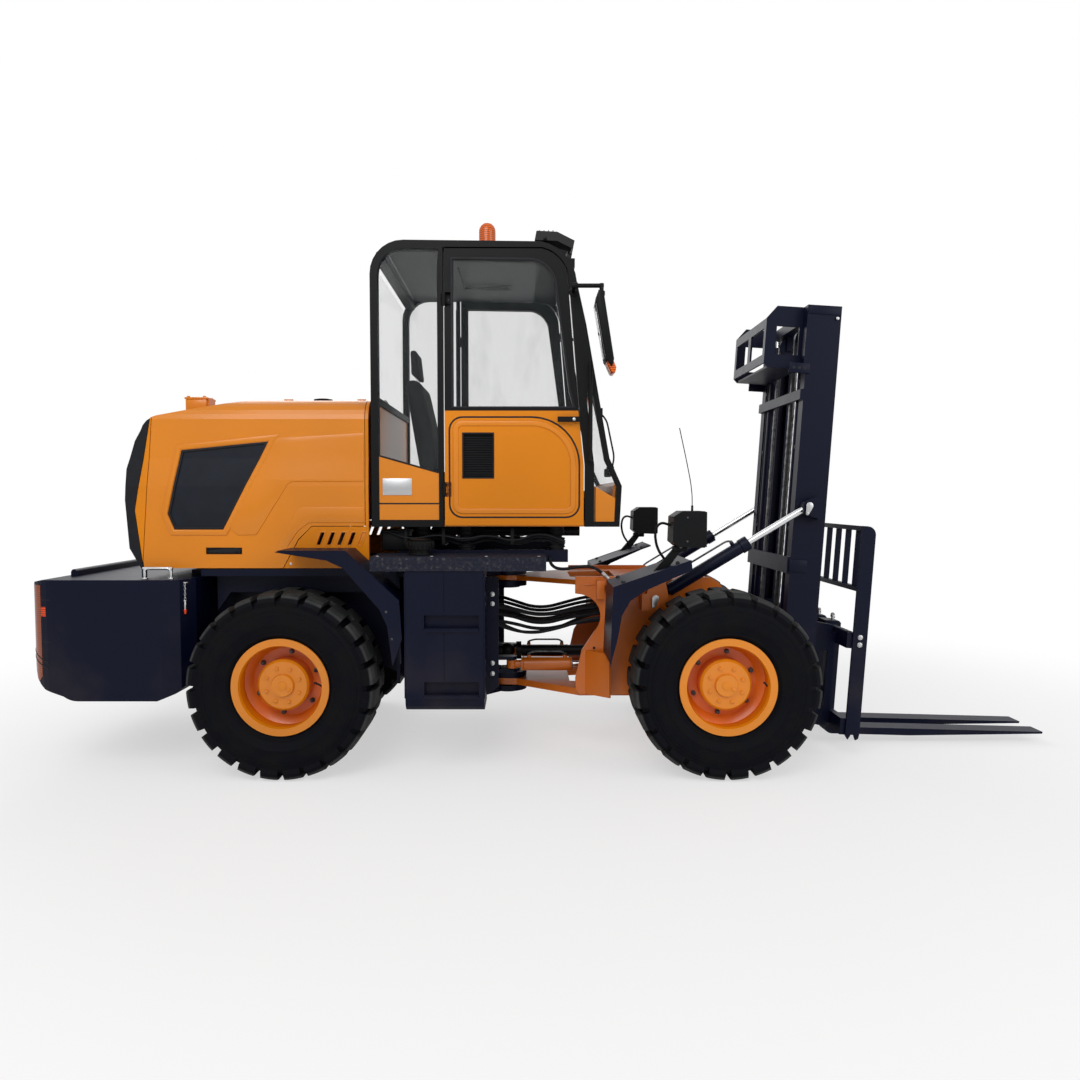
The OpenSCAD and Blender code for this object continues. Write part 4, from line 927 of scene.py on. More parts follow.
class FORKLIFT_OT_wheels(bpy.types.Operator):
    """Wheel nuts, hub cover bolts, rim beads and valve of each wheel"""

    bl_idname = "forklift.wheels"
    bl_label = "Wheels"

    def execute(self, context):
        for end, x in AXLES:
            for side, turn in SIDES:
                place = turn @ Matrix.Translation((x, -TRACK, WHEEL_RADIUS))
                body = f"wheel_{end}_{side}"
                self.nuts(place, body)
                self.hub(place, body)
                self.tyre_wall(place, body)
        return {"FINISHED"}

    def nuts(self, place, body):
        steel = Shape(place)
        for out in ring(6, sizes().nut_circle, 22):
            steel.rod(out + Vector((0, -0.003, 0)), out + Vector((0, -0.009, 0)), 0.014, 0.001, 20)
            steel.hexagon(out + Vector((0, -0.008, 0)), OUT, sizes().wheel_nut, 0.018)
            steel.rod(out + Vector((0, -0.024, 0)), out + Vector((0, -0.036, 0)), 0.008, 0.0015, 16)
        piece(steel, f"wheel_nuts_{body}", body, "chain_steel")

    def hub(self, place, body):
        cover = Shape(place)
        for out in ring(8, 0.098, 20):
            cover.bolt(out + Vector((0, -0.1075, 0)), OUT, sizes().small_bolt, 0.009)
        # plugs in the hub's cover
        cover.rod((0, -0.127, 0), (0, -0.131, 0), 0.026, 0.001, 32)
        cover.hexagon((0.036, -0.127, -0.02), OUT, 0.02, 0.008)
        piece(cover, f"hub_bolts_{body}", body, "body_paint")
        rim = Shape(place)
        # lip that holds the split ring
        rim.turned(
            [
                (0.2725, -0.16), (0.279, -0.16), (0.283, -0.164), (0.283, -0.17), (0.279, -0.1735),
                (0.2725, -0.1735)
            ],
            (0, 0, 0), OUT, 72
        )
        piece(rim, f"rim_lip_{body}", body, "body_paint")
        valve = Shape(place)
        valve.tube([(0.222, -0.13, 0.0), (0.214, -0.15, 0.012), (0.2, -0.166, 0.024)], 0.005, 0.02, 10)
        valve.rod((0.2015, -0.1645, 0.0228), (0.193, -0.176, 0.03), 0.0065, 0.001, 12)
        piece(valve, f"valve_{body}", body, "seal_rubber")

    def tyre_wall(self, place, body):
        wall = Shape(place)
        # moulded ribs on both walls of the tyre
        for face in (-1, 1):
            for radius, height in ((0.3, 0.1825), (0.355, 0.1988), (0.425, 0.1985)):
                wall.turned(
                    [
                        (radius - 0.007, height - 0.003), (radius - 0.004, height + 0.0008),
                        (radius + 0.004, height + 0.0008), (radius + 0.007, height - 0.003)
                    ],
                    (0, 0, 0), (0, face, 0), 72
                )
        piece(wall, f"tyre_ribs_{body}", body, "tyre_rubber")


# side face of the hood, doors and cab, and the height where the hood's side starts to lean in
HOOD_SIDE = 0.65
CAB_SIDE = 0.66
HOOD_STRIPS = (1.64, 1.68, 1.72, 1.76, 1.8, 1.84, 1.88, 1.92)
VENT = ((-2.225, 1.842), (-1.735, 1.892), (-1.995, 1.395), (-2.27, 1.395), (-2.305, 1.48))


def lean_in(z):
    """How far the hood's side lies inside its widest plane at a height."""
    return 0.012 * max(0.0, min(1.0, (z - 1.64) / 0.16)) + 0.06 * max(0.0, z - 1.8) ** 1.5


def hug(shape):
    """Cuts a form drawn on the hood's widest plane into strips, and leans them onto its side."""
    for level in HOOD_STRIPS:
        every = shape.mesh.verts[:] + shape.mesh.edges[:] + shape.mesh.faces[:]
        bmesh.ops.bisect_plane(shape.mesh, geom=every, plane_co=(0, 0, level), plane_no=UP, dist=1e-5)
    for v in shape.mesh.verts:
        v.co.y -= math.copysign(lean_in(v.co.z), v.co.y)


def frame_of(outline, inset):
    """An outline drawn in by a distance, towards its middle."""
    middle = sum((Vector(p) for p in outline), Vector((0, 0))) / len(outline)
    drawn = []
    for i, point in enumerate(outline):
        before, here, after = Vector(outline[i - 1]), Vector(point), Vector(outline[(i + 1) % len(outline)])
        into, out = (here - before).normalized(), (after - here).normalized()
        left = Vector((-into.y, into.x)) + Vector((-out.y, out.x))
        turn = (left / max(left.length_squared, 1e-9)) * 2
        if (here + turn * 0.01 - middle).length > (here - middle).length:
            turn = -turn
        drawn.append(tuple(here + turn * inset))
    return drawn


class FORKLIFT_OT_hood(bpy.types.Operator):
    """Pressed creases, vent seals, latches and small fixings of the hood"""

    bl_idname = "forklift.hood"
    bl_label = "Hood"

    def execute(self, context):
        for side, place in SIDES:
            door, fixed = f"hood_side_{side}", "rear_body"
            self.creases(place, side, door)
            self.vent(place, side, door)
            self.latch(place, side, door)
            self.corner(place, side, fixed)
        self.top()
        return {"FINISHED"}

    def creases(self, place, side, body):
        pressing = Shape()
        face = -HOOD_SIDE
        # panel between the upper and middle creases, running down beside the vent
        pressing.plate(
            [
                (-1.176, 1.665), (-1.176, 1.948), (-1.695, 1.918), (-1.96, 1.405), (-1.905, 1.355),
                (-1.8, 1.358), (-1.615, 1.65), (-1.59, 1.665)
            ],
            "y", face + 0.004, face - 0.0045, 0.004, 3
        )
        # lower panel between the middle crease and the fixed corner
        pressing.plate(
            [
                (-1.176, 1.428), (-1.176, 1.52), (-1.53, 1.52), (-1.565, 1.5), (-1.7, 1.262),
                (-1.64, 1.262), (-1.56, 1.38), (-1.495, 1.428)
            ],
            "y", face + 0.004, face - 0.0035, 0.003, 3
        )
        # surround of the vent
        pressing.band(frame_of(VENT, -0.04), 0.032, "y", face + 0.004, face - 0.006, 0.005)
        hug(pressing)
        bmesh.ops.transform(pressing.mesh, matrix=place, verts=pressing.mesh.verts)
        piece(pressing, f"hood_pressing_{side}", body, "body_paint")

    def vent(self, place, side, body):
        seal = Shape()
        seal.band(frame_of(VENT, -0.006), 0.014, "y", -HOOD_SIDE + 0.01, -HOOD_SIDE - 0.002, 0.002)
        hug(seal)
        bmesh.ops.transform(seal.mesh, matrix=place, verts=seal.mesh.verts)
        piece(seal, f"vent_seal_{side}", body, "seal_rubber")

    def latch(self, place, side, body):
        face = -HOOD_SIDE
        tray = Shape(place)
        tray.plate(
            [(-2.093, 1.247), (-1.887, 1.247), (-1.887, 1.283), (-2.093, 1.283)], "y", face + 0.0095,
            face + 0.004, 0.001
        )
        piece(tray, f"latch_tray_{side}", body, "black_paint")
        handle = Shape(place)
        handle.plate(
            [
                (-2.088, 1.262), (-2.07, 1.252), (-1.96, 1.249), (-1.895, 1.252), (-1.891, 1.266),
                (-1.895, 1.279), (-1.96, 1.281), (-2.07, 1.27)
            ],
            "y", face + 0.006, face - 0.007, 0.004, 3
        )
        handle.rod((-1.915, face - 0.005, 1.265), (-1.915, face - 0.01, 1.265), 0.008, 0.001, 20)
        piece(handle, f"latch_{side}", body, "dark_moulding")

    def corner(self, place, side, body):
        """Fixed corner panel: lined slots and a screw."""
        face = -HOOD_SIDE
        lips = Shape()
        for i in range(5):
            x = -1.455 + i * 0.06
            slot = [(x, 1.3), (x + 0.022, 1.3), (x + 0.05, 1.372), (x + 0.028, 1.372)]
            lips.band(frame_of(slot, -0.006), 0.0055, "y", face + 0.01, face - 0.0025, 0.001)
        # the last slot is blind
        lips.plate(
            [(-1.216, 1.299), (-1.192, 1.299), (-1.164, 1.373), (-1.188, 1.373)], "y", face + 0.014,
            face + 0.004, 0.001
        )
        bmesh.ops.transform(lips.mesh, matrix=place, verts=lips.mesh.verts)
        piece(lips, f"slot_lips_{side}", body, "body_paint")
        fixings = Shape(place)
        fixings.rod((-1.604, face + 0.004, 1.19), (-1.604, face - 0.002, 1.19), 0.008, 0.001, 20)
        piece(fixings, f"corner_screw_{side}", body, "plated_steel")

    def top(self):
        """Box round the filler neck, with its lid, and the exhaust's lid."""
        cover = Shape()
        cover.box((-2.392, -0.17, 2.125), (-2.257, -0.02, 2.196), 0.008)
        cover.box((-2.396, -0.174, 2.194), (-2.253, -0.016, 2.2075), 0.004)
        for x in (-2.375, -2.275):
            for y in (-0.155, -0.035):
                cover.bolt((x, y, 2.2075), UP, sizes().small_bolt, 0.006)
        piece(cover, "filler_cover", "rear_body", "body_paint")
        stack = Shape()
        stack.turned(
            [
                (0.0, 2.214), (0.04, 2.214), (0.056, 2.206), (0.064, 2.196), (0.064, 2.186), (0.06, 2.184),
                (0.06, 2.175), (0.0, 2.175)
            ],
            (-1.56, 0, 0), UP, 48
        )
        piece(stack, "exhaust_lid", "rear_body", "black_paint")


class FORKLIFT_OT_counterweight(bpy.types.Operator):
    """Lamp lenses, locking pin, casting edges and lifting bars of the counterweight"""

    bl_idname = "forklift.counterweight"
    bl_label = "Counterweight"

    def execute(self, context):
        for side, place in SIDES:
            self.lamp(place, side)
            self.pin(place, side)
            self.bars(place, side)
        self.tail()
        return {"FINISHED"}

    def lamp(self, place, side):
        centre, radius = (-2.91, -0.63, 0.0), 0.1695
        stop = Shape(place)
        # L-shaped stop lens round the corner, and the dark joint lines between the lenses
        stop.turned(
            [
                (radius - 0.002, 0.9), (radius + 0.0005, 0.903), (radius + 0.0005, 0.957),
                (radius - 0.002, 0.96)
            ],
            centre, UP, 20, math.radians(190), math.radians(66)
        )
        stop.turned(
            [
                (radius - 0.002, 0.77), (radius + 0.0005, 0.773), (radius + 0.0005, 0.9),
                (radius - 0.002, 0.902)
            ],
            centre, UP, 10, math.radians(190), math.radians(26)
        )
        piece(stop, f"stop_lens_{side}", "rear_body", "red_lens")
        joint = Shape(place)
        for z in (0.756, 0.994):
            joint.turned(
                [
                    (radius - 0.003, z), (radius + 0.0004, z), (radius + 0.0004, z + 0.006),
                    (radius - 0.003, z + 0.006)
                ],
                centre, UP, 24, math.radians(182), math.radians(83)
            )
        for i in range(2):
            low = 0.6 + i * 0.034
            route = []
            for k in range(13):
                turn = math.radians(205 + k * 4.6)
                route.append(
                    (
                        centre[0] + radius * math.cos(turn), centre[1] + radius * math.sin(turn),
                        low + 0.075 - k * 0.0058
                    )
                )
            joint.tube(route, 0.0042, steps=8)
        piece(joint, f"lamp_joints_{side}", "rear_body", "seal_rubber")

    def pin(self, place, side):
        top = Vector((-2.177, -0.746, 1.104))
        hanger = Shape(place)
        hanger.tube(
            [
                top + Vector((-0.012, 0.01, -0.012)), top + Vector((-0.012, -0.012, -0.012)),
                top + Vector((0.012, -0.012, -0.012)), top + Vector((0.012, 0.01, -0.012))
            ],
            0.0035, 0.008, 10
        )
        for i in range(7):
            link = Matrix.Translation(top + Vector((0, -0.0115, -0.024 - i * 0.0135))) @ Matrix.Rotation(
                math.radians(90 * i), 4, "Z"
            )
            hanger.place = place @ link
            hanger.tube(
                [
                    (0, 0, 0.0085), (0.0048, 0, 0.005), (0.0048, 0, -0.005), (0, 0, -0.0085),
                    (-0.0048, 0, -0.005), (-0.0048, 0, 0.005), (0, 0, 0.0086)
                ],
                0.0015, 0.003, 6
            )
        hanger.place = place
        hanger.rod(top + Vector((0, -0.0115, -0.118)), top + Vector((0, -0.0115, -0.168)), 0.007, 0.002, 16)
        hanger.rod(top + Vector((0, -0.0115, -0.112)), top + Vector((0, -0.0115, -0.12)), 0.01, 0.002, 16)
        piece(hanger, f"locking_pin_{side}", "rear_body", "plated_steel")
        grip = Shape(place)
        grip.rod(
            top + Vector((0, -0.0115, -0.164)), top + Vector((0, -0.0115, -0.192)), 0.009, 0.004, 20, 0.006
        )
        piece(grip, f"pin_grip_{side}", "rear_body", "red_lens", slotted=False)

    def bars(self, place, side):
        """Chrome bends where the lifting bar's legs meet its grip, and its base collars."""
        bar = Shape(place)
        bar.tube(
            [(-2.42, -0.72, 1.112), (-2.42, -0.72, 1.17), (-2.27, -0.72, 1.17), (-2.27, -0.72, 1.112)],
            0.0094, 0.022, 16
        )
        for x in (-2.42, -2.27):
            bar.rod((x, -0.72, 1.109), (x, -0.72, 1.116), 0.017, 0.0015, 24)
        piece(bar, f"lifting_bar_{side}", "rear_body", "rod_chrome", slotted=False)

    def tail(self):
        lip = Shape()
        # rounded cap on the raised lip
        lip.tube([(-2.9125, -0.558, 1.134), (-2.9125, 0.558, 1.134)], 0.0175, steps=16)
        piece(lip, "weight_lip", "rear_body", "navy_paint")
        pocket = Shape()
        pocket.band(
            [(-0.11, 0.58), (0.11, 0.58), (0.11, 0.71), (-0.11, 0.71)], 0.018, "x", -3.0745, -3.056, 0.003
        )
        piece(pocket, "tow_pocket_rim", "rear_body", "navy_paint")


class FORKLIFT_OT_tanks(bpy.types.Operator):
    """Serrated treads, weld seams, bolts and caps of the tanks and decks"""

    bl_idname = "forklift.tanks"
    bl_label = "Tanks and decks"

    def execute(self, context):
        for side, place in SIDES:
            self.treads(place, side)
            self.bolts(place, side)
            self.cap(place, side)
            self.deck(place, side)
        return {"FINISHED"}

    def treads(self, place, side):
        teeth = Shape(place)
        for foot in (0.8495, 0.4795):
            count, left, right = 22, -0.798, -0.502
            pitch = (right - left) / count
            outline = [(left, foot), (right, foot)]
            for i in range(count):
                x = right - i * pitch
                outline += [
                    (x, foot + 0.003), (x - pitch * 0.2, foot + 0.012), (x - pitch * 0.6, foot + 0.012)
                ]
            outline.append((left, foot + 0.003))
            for y in (-0.9435, -0.921, -0.899):
                teeth.plate(outline, "y", y, y + 0.006, 0)
        piece(teeth, f"treads_{side}", "rear_body", "navy_paint")

    def bolts(self, place, side):
        steel = Shape(place)
        for z in (1.013, 0.957, 0.609, 0.547):
            steel.bolt((-0.436, -0.6475, z), OUT, sizes().small_bolt * 1.15, 0.011)
        piece(steel, f"tank_bolts_{side}", "rear_body", "plated_steel")
        seam = Shape(place)
        # welds along the tank's outer corners, and the drain plug below
        for x in (-0.4695, -0.9055):
            seam.tube([(x, -0.93, 1.16), (x, -0.93, 0.47)], 0.004, steps=8)
        seam.bolt((-0.56, -0.76, 0.3925), (0, 0, -1), sizes().frame_bolt, 0.012)
        piece(seam, f"tank_seams_{side}", "rear_body", "navy_paint")

    def cap(self, place, side):
        cap = Shape(place)
        centre = Vector((-0.84, -0.76, 0))
        cap.turned(
            [(0.0, 1.33), (0.052, 1.33), (0.06, 1.3335), (0.06, 1.338), (0.05, 1.342), (0.0, 1.342)],
            centre, UP, 48
        )
        for out in ring(20, 0.0775, axis="z"):
            foot = centre + out
            cap.rod(foot + Vector((0, 0, 1.29)), foot + Vector((0, 0, 1.326)), 0.005, 0.0015, 10)
        cap.rod(centre + Vector((0, 0, 1.2505)), centre + Vector((0, 0, 1.262)), 0.07, 0.002, 40)
        piece(cap, f"tank_cap_{side}", "rear_body", "black_paint")

    def deck(self, place, side):
        edge = Shape(place)
        # countersunk screws along the deck
        for x in (-1.06, -0.76, -0.46, -0.17):
            edge.rod((x, -0.885, 1.249), (x, -0.885, 1.2525), 0.01, 0.001, 20)
        piece(edge, f"deck_screws_{side}", "rear_body", "plated_steel")
        fender = Shape(place)
        for x, z in ((-1.005, 0.95), (-0.975, 0.8)):
            fender.rod((x, -0.9425, z), (x, -0.9445, z), 0.007, 0.0008, 16)
        fender.bolt((-0.952, -0.7, 0.88), OUT, sizes().frame_bolt, 0.014)
        piece(fender, f"fender_bolts_{side}", "rear_body", "chain_steel")


# corners of the cab's doors and windscreen, as X and Z
POST, NOSE, SILL = -0.715, 0.092, 1.405
BEACON = Vector((-0.47, -0.45, 0.0))
ROOF_LAMPS = (-0.52, -0.25, 0.25, 0.52)


def arc(centre, radius, start, end, steps=8):
    """Points of an arc, from one angle to another in degrees."""
    turns = [math.radians(start + (end - start) * i / steps) for i in range(steps + 1)]
    return [(centre[0] + radius * math.cos(t), centre[1] + radius * math.sin(t)) for t in turns]


DOOR_PANEL = (
    arc((POST + 0.11, SILL + 0.13), 0.08, 180, 270) + arc((NOSE - 0.1, SILL + 0.13), 0.08, 270, 360)
    + arc((NOSE - 0.3, 1.76), 0.28, 0, 90, 14) + arc((POST + 0.11, 1.96), 0.08, 90, 180)
)
DOOR_WINDOW = (
    [(-0.657, 2.096), (0.03, 2.096), (0.006, 2.18)] + arc((-0.225, 2.77), 0.15, 14, 90) + [(-0.657, 2.925)]
)


class FORKLIFT_OT_cab(bpy.types.Operator):
    """Door seals and pressings, joint lines, screws, mirrors, wiper, beacon and work lamps of the cab"""

    bl_idname = "forklift.cab"
    bl_label = "Cab"

    def execute(self, context):
        for side, place in SIDES:
            self.door(place, side)
            self.panels(place, side)
            self.mirror(place, side)
        self.plate_and_wiper()
        self.roof()
        return {"FINISHED"}

    def door(self, place, side):
        body, face = f"door_{side}", -CAB_SIDE
        seal = Shape(place)
        seal.band(DOOR_PANEL, 0.0098, "y", face + 0.0068, face - 0.0015, 0.0015)
        seal.band(frame_of(DOOR_WINDOW, -0.012), 0.0115, "y", face + 0.004, face - 0.0035, 0.002)
        piece(seal, f"door_seal_{side}", body, "seal_rubber")
        pressing = Shape(place)
        # raised bead inside the seal
        pressing.band(frame_of(DOOR_PANEL, 0.026), 0.03, "y", face + 0.003, face - 0.006, 0.0055, 3)
        piece(pressing, f"door_pressing_{side}", body, "body_paint")
        louvre = Shape(place)
        louvre.band(
            [(-0.607, 1.683), (-0.423, 1.683), (-0.423, 1.947), (-0.607, 1.947)], 0.009, "y", face + 0.01,
            face - 0.004, 0.002
        )
        for i in range(9):
            louvre.box(
                (-0.599, face + 0.001, 1.699 + i * 0.027), (-0.431, face + 0.01, 1.7025 + i * 0.027), 0.001,
                Matrix.Rotation(math.radians(-30), 4, "X"), 1
            )
        piece(louvre, f"louvre_{side}", body, "dark_moulding")
        screws = Shape(place)
        for z in (1.62, 2.7):
            for x in (-0.701, -0.684):
                screws.hexagon((x, face + 0.0225, z), OUT, 0.01, 0.005, 0.0006)
        piece(screws, f"hinge_screws_{side}", body, "chain_steel")
        lock = Shape(place)
        # lock barrel in the door's handle
        lock.rod((0.034, face - 0.03, 2.02), (0.034, face - 0.0365, 2.02), 0.009, 0.001, 20)
        piece(lock, f"door_lock_{side}", body, "plated_steel")

    def panels(self, place, side):
        lines, face = Shape(place), -CAB_SIDE
        lines.box((-1.085, face + 0.0015, 1.5355), (-0.742, face + 0.0045, 1.5435), 0.0005)
        lines.box((0.155, face + 0.0015, 1.4365), (0.1605, face + 0.0045, 1.639), 0.0005)
        piece(lines, f"joint_lines_{side}", "rear_body", "seal_rubber")
        glass = Shape(place)
        # rubber that holds the rear quarter window
        glass.tube([(-1.083, face + 0.004, 1.814), (-0.744, face + 0.004, 1.718)], 0.005, steps=8)
        glass.tube([(-0.744, face + 0.004, 1.718), (-0.744, face + 0.004, 2.93)], 0.004, steps=8)
        piece(glass, f"window_rubber_{side}", "rear_body", "seal_rubber")

    def mirror(self, place, side):
        lean = Matrix.Rotation(-0.1787, 4, "Y")
        face = Shape(place)
        face.box((0.165, -0.872, 2.342), (0.168, -0.728, 2.632), 0.004, lean)
        piece(face, f"mirror_glass_{side}", "rear_body", "mirror_glass")
        head = Shape(place)
        # lip round the glass, back shell, and the clamp on the arm
        for y in (-0.886, -0.72):
            head.plate(
                [(0.152, 2.7), (0.18, 2.7), (0.24, 2.328), (0.229, 2.288), (0.2, 2.33), (0.144, 2.64)], "y",
                y, y + 0.006, 0.003
            )
        head.rod((0.178, -0.79, 2.69), (0.178, -0.79, 2.716), 0.019, 0.003)
        head.rod((0.014, -0.79, 2.745), (0.046, -0.79, 2.745), 0.018, 0.003)
        head.rod((0.03, -0.664, 2.745), (0.03, -0.654, 2.745), 0.03, 0.003)
        for out in ring(4, 0.021):
            head.hexagon(Vector((0.03, -0.664, 2.745)) + out, OUT, 0.009, 0.005, 0.0006)
        piece(head, f"mirror_shell_{side}", "rear_body", "black_paint")
        amber = Shape(place)
        amber.plate(
            [(0.2, 2.33), (0.238, 2.326), (0.254, 2.286), (0.248, 2.256), (0.23, 2.258), (0.212, 2.296)],
            "y", -0.872, -0.728, 0.006, 3
        )
        piece(amber, f"mirror_lamp_{side}", "rear_body", "amber_lens")

    def plate_and_wiper(self):
        face = -CAB_SIDE
        blank = Shape()
        blank.box((-1.066, face + 0.0005, 1.588), (-0.898, face + 0.0045, 1.684), 0.001)
        for x in (-1.058, -0.906):
            for z in (1.596, 1.676):
                blank.rod((x, face + 0.001, z), (x, face - 0.0012, z), 0.003, 0.0006, 12)
        piece(blank, "blank_plate", "rear_body", "plated_steel")
        arm = Shape()
        arm.rod((0.262, -0.3, 1.748), (0.3, -0.3, 1.768), 0.014, 0.003)
        arm.tube(
            [(0.294, -0.3, 1.765), (0.306, -0.3, 1.822), (0.262, -0.255, 2.055), (0.214, -0.235, 2.11)],
            0.0055, 0.03, 10
        )
        arm.tube([(0.234, -0.33, 1.88), (0.15, -0.2, 2.33)], 0.0065, steps=10)
        arm.tube([(0.24, -0.322, 1.905), (0.218, -0.24, 2.108), (0.16, -0.205, 2.3)], 0.003, 0.05, 8)
        arm.box((0.225, -0.252, 2.075), (0.238, -0.222, 2.13), 0.003)
        piece(arm, "wiper", "rear_body", "dark_moulding")
        motor = Shape()
        motor.box((0.246, -0.34, 1.7), (0.286, -0.26, 1.752), 0.008)
        piece(motor, "wiper_motor", "rear_body", "black_paint")

    def roof(self):
        base = Shape()
        base.turned(
            [(0.0505, 3.0725), (0.0645, 3.0725), (0.0665, 3.066), (0.0665, 3.058), (0.0505, 3.058)],
            (BEACON.x, BEACON.y, 0), UP, 40
        )
        for out in ring(3, 0.0585, 30, "z"):
            base.hexagon(BEACON + out + Vector((0, 0, 3.0715)), UP, 0.007, 0.004, 0.0005)
        piece(base, "beacon_base", "rear_body", "black_paint")
        glass, screws = Shape(), Shape()
        for y in ROOF_LAMPS:
            glass.box((0.0195, y - 0.0575, 3.0095), (0.026, y + 0.0575, 3.049), 0.003)
            for end in (-1, 1):
                screws.rod(
                    (-0.13, y + end * 0.0705, 3.06), (-0.13, y + end * 0.076, 3.06), 0.011, 0.002, 20
                )
                screws.hexagon((-0.13, y + end * 0.0755, 3.06), (0, end, 0), 0.013, 0.006, 0.0006)
            # cooling fins across the lamp's back
            for i in range(4):
                screws.box(
                    (-0.165 + i * 0.026, y - 0.062, 3.098), (-0.16 + i * 0.026, y + 0.062, 3.112), 0.001
                )
        piece(glass, "roof_lamp_lenses", "rear_body", "clear_lens")
        piece(screws, "roof_lamp_fixings", "rear_body", "black_paint")


# the padding is remeshed, shaken a little so that it can buckle, and blown up over these frames
VOXEL = 0.006
SHIVER = 0.0003
SWELL_PRESSURE = 4.0
SWELL_FRAMES = 20


def swollen(shape, name, seams, seed):
    """A padded form as an object: remeshed, blown up a little as cloth with its seams held, and smoothed."""
    bmesh.ops.recalc_face_normals(shape.mesh, faces=shape.mesh.faces)
    mesh = bpy.data.meshes.new(name)
    shape.mesh.to_mesh(mesh)
    shape.mesh.free()
    made = bpy.data.objects.new(name, mesh)
    bpy.context.scene.collection.objects.link(made)
    bpy.context.view_layer.objects.active = made
    made.select_set(True)
    mesh.remesh_voxel_size = VOXEL
    bpy.ops.object.voxel_remesh()
    mesh = made.data
    start = [v.co.copy() for v in mesh.vertices]
    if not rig.quick():
        held = made.vertex_groups.new(name="seams")
        held.add([i for i, co in enumerate(start) if seams(co)], 1.0, "REPLACE")
        shiver = random.Random(seed)
        for v in mesh.vertices:
            v.co += v.normal * shiver.uniform(-SHIVER, SHIVER)
        cloth = made.modifiers.new("swell", "CLOTH")
        cloth.settings.use_pressure = True
        cloth.settings.uniform_pressure_force = SWELL_PRESSURE
        cloth.settings.vertex_group_mass = "seams"
        cloth.settings.effector_weights.gravity = 0.0
        cloth.point_cache.frame_start, cloth.point_cache.frame_end = 1, SWELL_FRAMES
        for step in range(1, SWELL_FRAMES + 1):
            bpy.context.scene.frame_set(step)
        graph = bpy.context.evaluated_depsgraph_get()
        blown = bpy.data.meshes.new_from_object(made.evaluated_get(graph))
        made.modifiers.clear()
        made.data = blown
        bpy.context.scene.frame_set(1)
        for v, before in zip(blown.vertices, start):
            move = v.co - before
            if move.length > sizes().seat_swell:
                v.co = before + move * (sizes().seat_swell / move.length)
    smooth = made.modifiers.new("smooth", "SUBSURF")
    smooth.levels = smooth.render_levels = 1
    graph = bpy.context.evaluated_depsgraph_get()
    final = bpy.data.meshes.new_from_object(made.evaluated_get(graph))
    made.modifiers.clear()
    made.vertex_groups.clear()
    final.materials.clear()
    final.materials.append(finish("seat_cover"))
    final.shade_smooth()
    made.data = final
    made.select_set(False)
    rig.ride(made, "rear_body")
    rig.slot(made, "seat_cover")
    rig.padded(made, fill=0.6)
    return made


class FORKLIFT_OT_seat(bpy.types.Operator):
    """Driver's seat: padded cushion, back and headrest on a sprung base with a bellows"""

    bl_idname = "forklift.seat"
    bl_label = "Seat"

    def execute(self, context):
        half = 0.24
        cushion, back, rest = Shape(), Shape(), Shape()
        cushion.plate(
            [
                (-0.882, 1.642), (-0.4, 1.642), (-0.366, 1.69), (-0.4, 1.738), (-0.56, 1.734),
                (-0.76, 1.73), (-0.872, 1.74)
            ],
            "y", -half, half, 0.022, 4
        )
        back.plate(
            [
                (-0.905, 1.752), (-0.79, 1.752), (-0.84, 2.05), (-0.893, 2.286), (-0.95, 2.312),
                (-0.992, 2.286), (-0.955, 2.05)
            ],
            "y", -half, half, 0.024, 4
        )
        rest.plate(
            [(-0.97, 2.35), (-0.914, 2.33), (-0.934, 2.508), (-0.976, 2.508)], "y", -0.13, 0.13, 0.018, 4
        )
        made = swollen(cushion, "seat_cushion", lambda co: self.seam(co, (-0.48, -0.6, -0.72), co.x), 11)
        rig.replaces(made, "seat")
        swollen(back, "seat_back", lambda co: self.seam(co, (1.86, 1.99, 2.12), co.z), 12)
        swollen(rest, "seat_headrest", lambda co: abs(co.y) > 0.118, 13)
        self.base()
        return {"FINISHED"}

    def seam(self, co, lines, along):
        """Whether a point lies on a side seam or on one of the sewn channels between them."""
        near = 0.0035
        side = abs(abs(co.y) - 0.165) < near
        return side or (abs(co.y) < 0.165 and any(abs(along - line) < near for line in lines))

    def base(self):
        base = Shape()
        for i in range(6):
            low = 1.47 + i * 0.024
            base.box((-0.8, -0.21, low), (-0.44, 0.21, low + 0.02), 0.008)
            base.box((-0.786, -0.196, low + 0.016), (-0.454, 0.196, low + 0.026), 0.002)
        piece(base, "seat_bellows", "rear_body", "seal_rubber")
        pan = Shape()
        pan.box((-0.82, -0.23, 1.4435), (-0.42, 0.23, 1.47), 0.004)
        pan.box((-0.87, -0.225, 1.612), (-0.4, 0.225, 1.642), 0.006)
        # recliner housings, slide rails and the lever at the seat's side
        for y in (-0.252, 0.252):
            pan.plate(
                [(-0.905, 1.64), (-0.8, 1.64), (-0.82, 1.77), (-0.86, 1.8), (-0.905, 1.76)], "y", y - 0.012,
                y + 0.012, 0.006
            )
        pan.tube(
            [(-0.42, -0.14, 1.63), (-0.35, -0.14, 1.622), (-0.345, 0.14, 1.622), (-0.42, 0.14, 1.63)],
            0.007, 0.03, 10
        )
        piece(pan, "seat_frame", "rear_body", "dark_moulding")
        posts = Shape()
        for y in (-0.06, 0.06):
            posts.rod((-0.937, y, 2.28), (-0.943, y, 2.37), 0.0065)
        piece(posts, "headrest_posts", "rear_body", "rod_chrome")


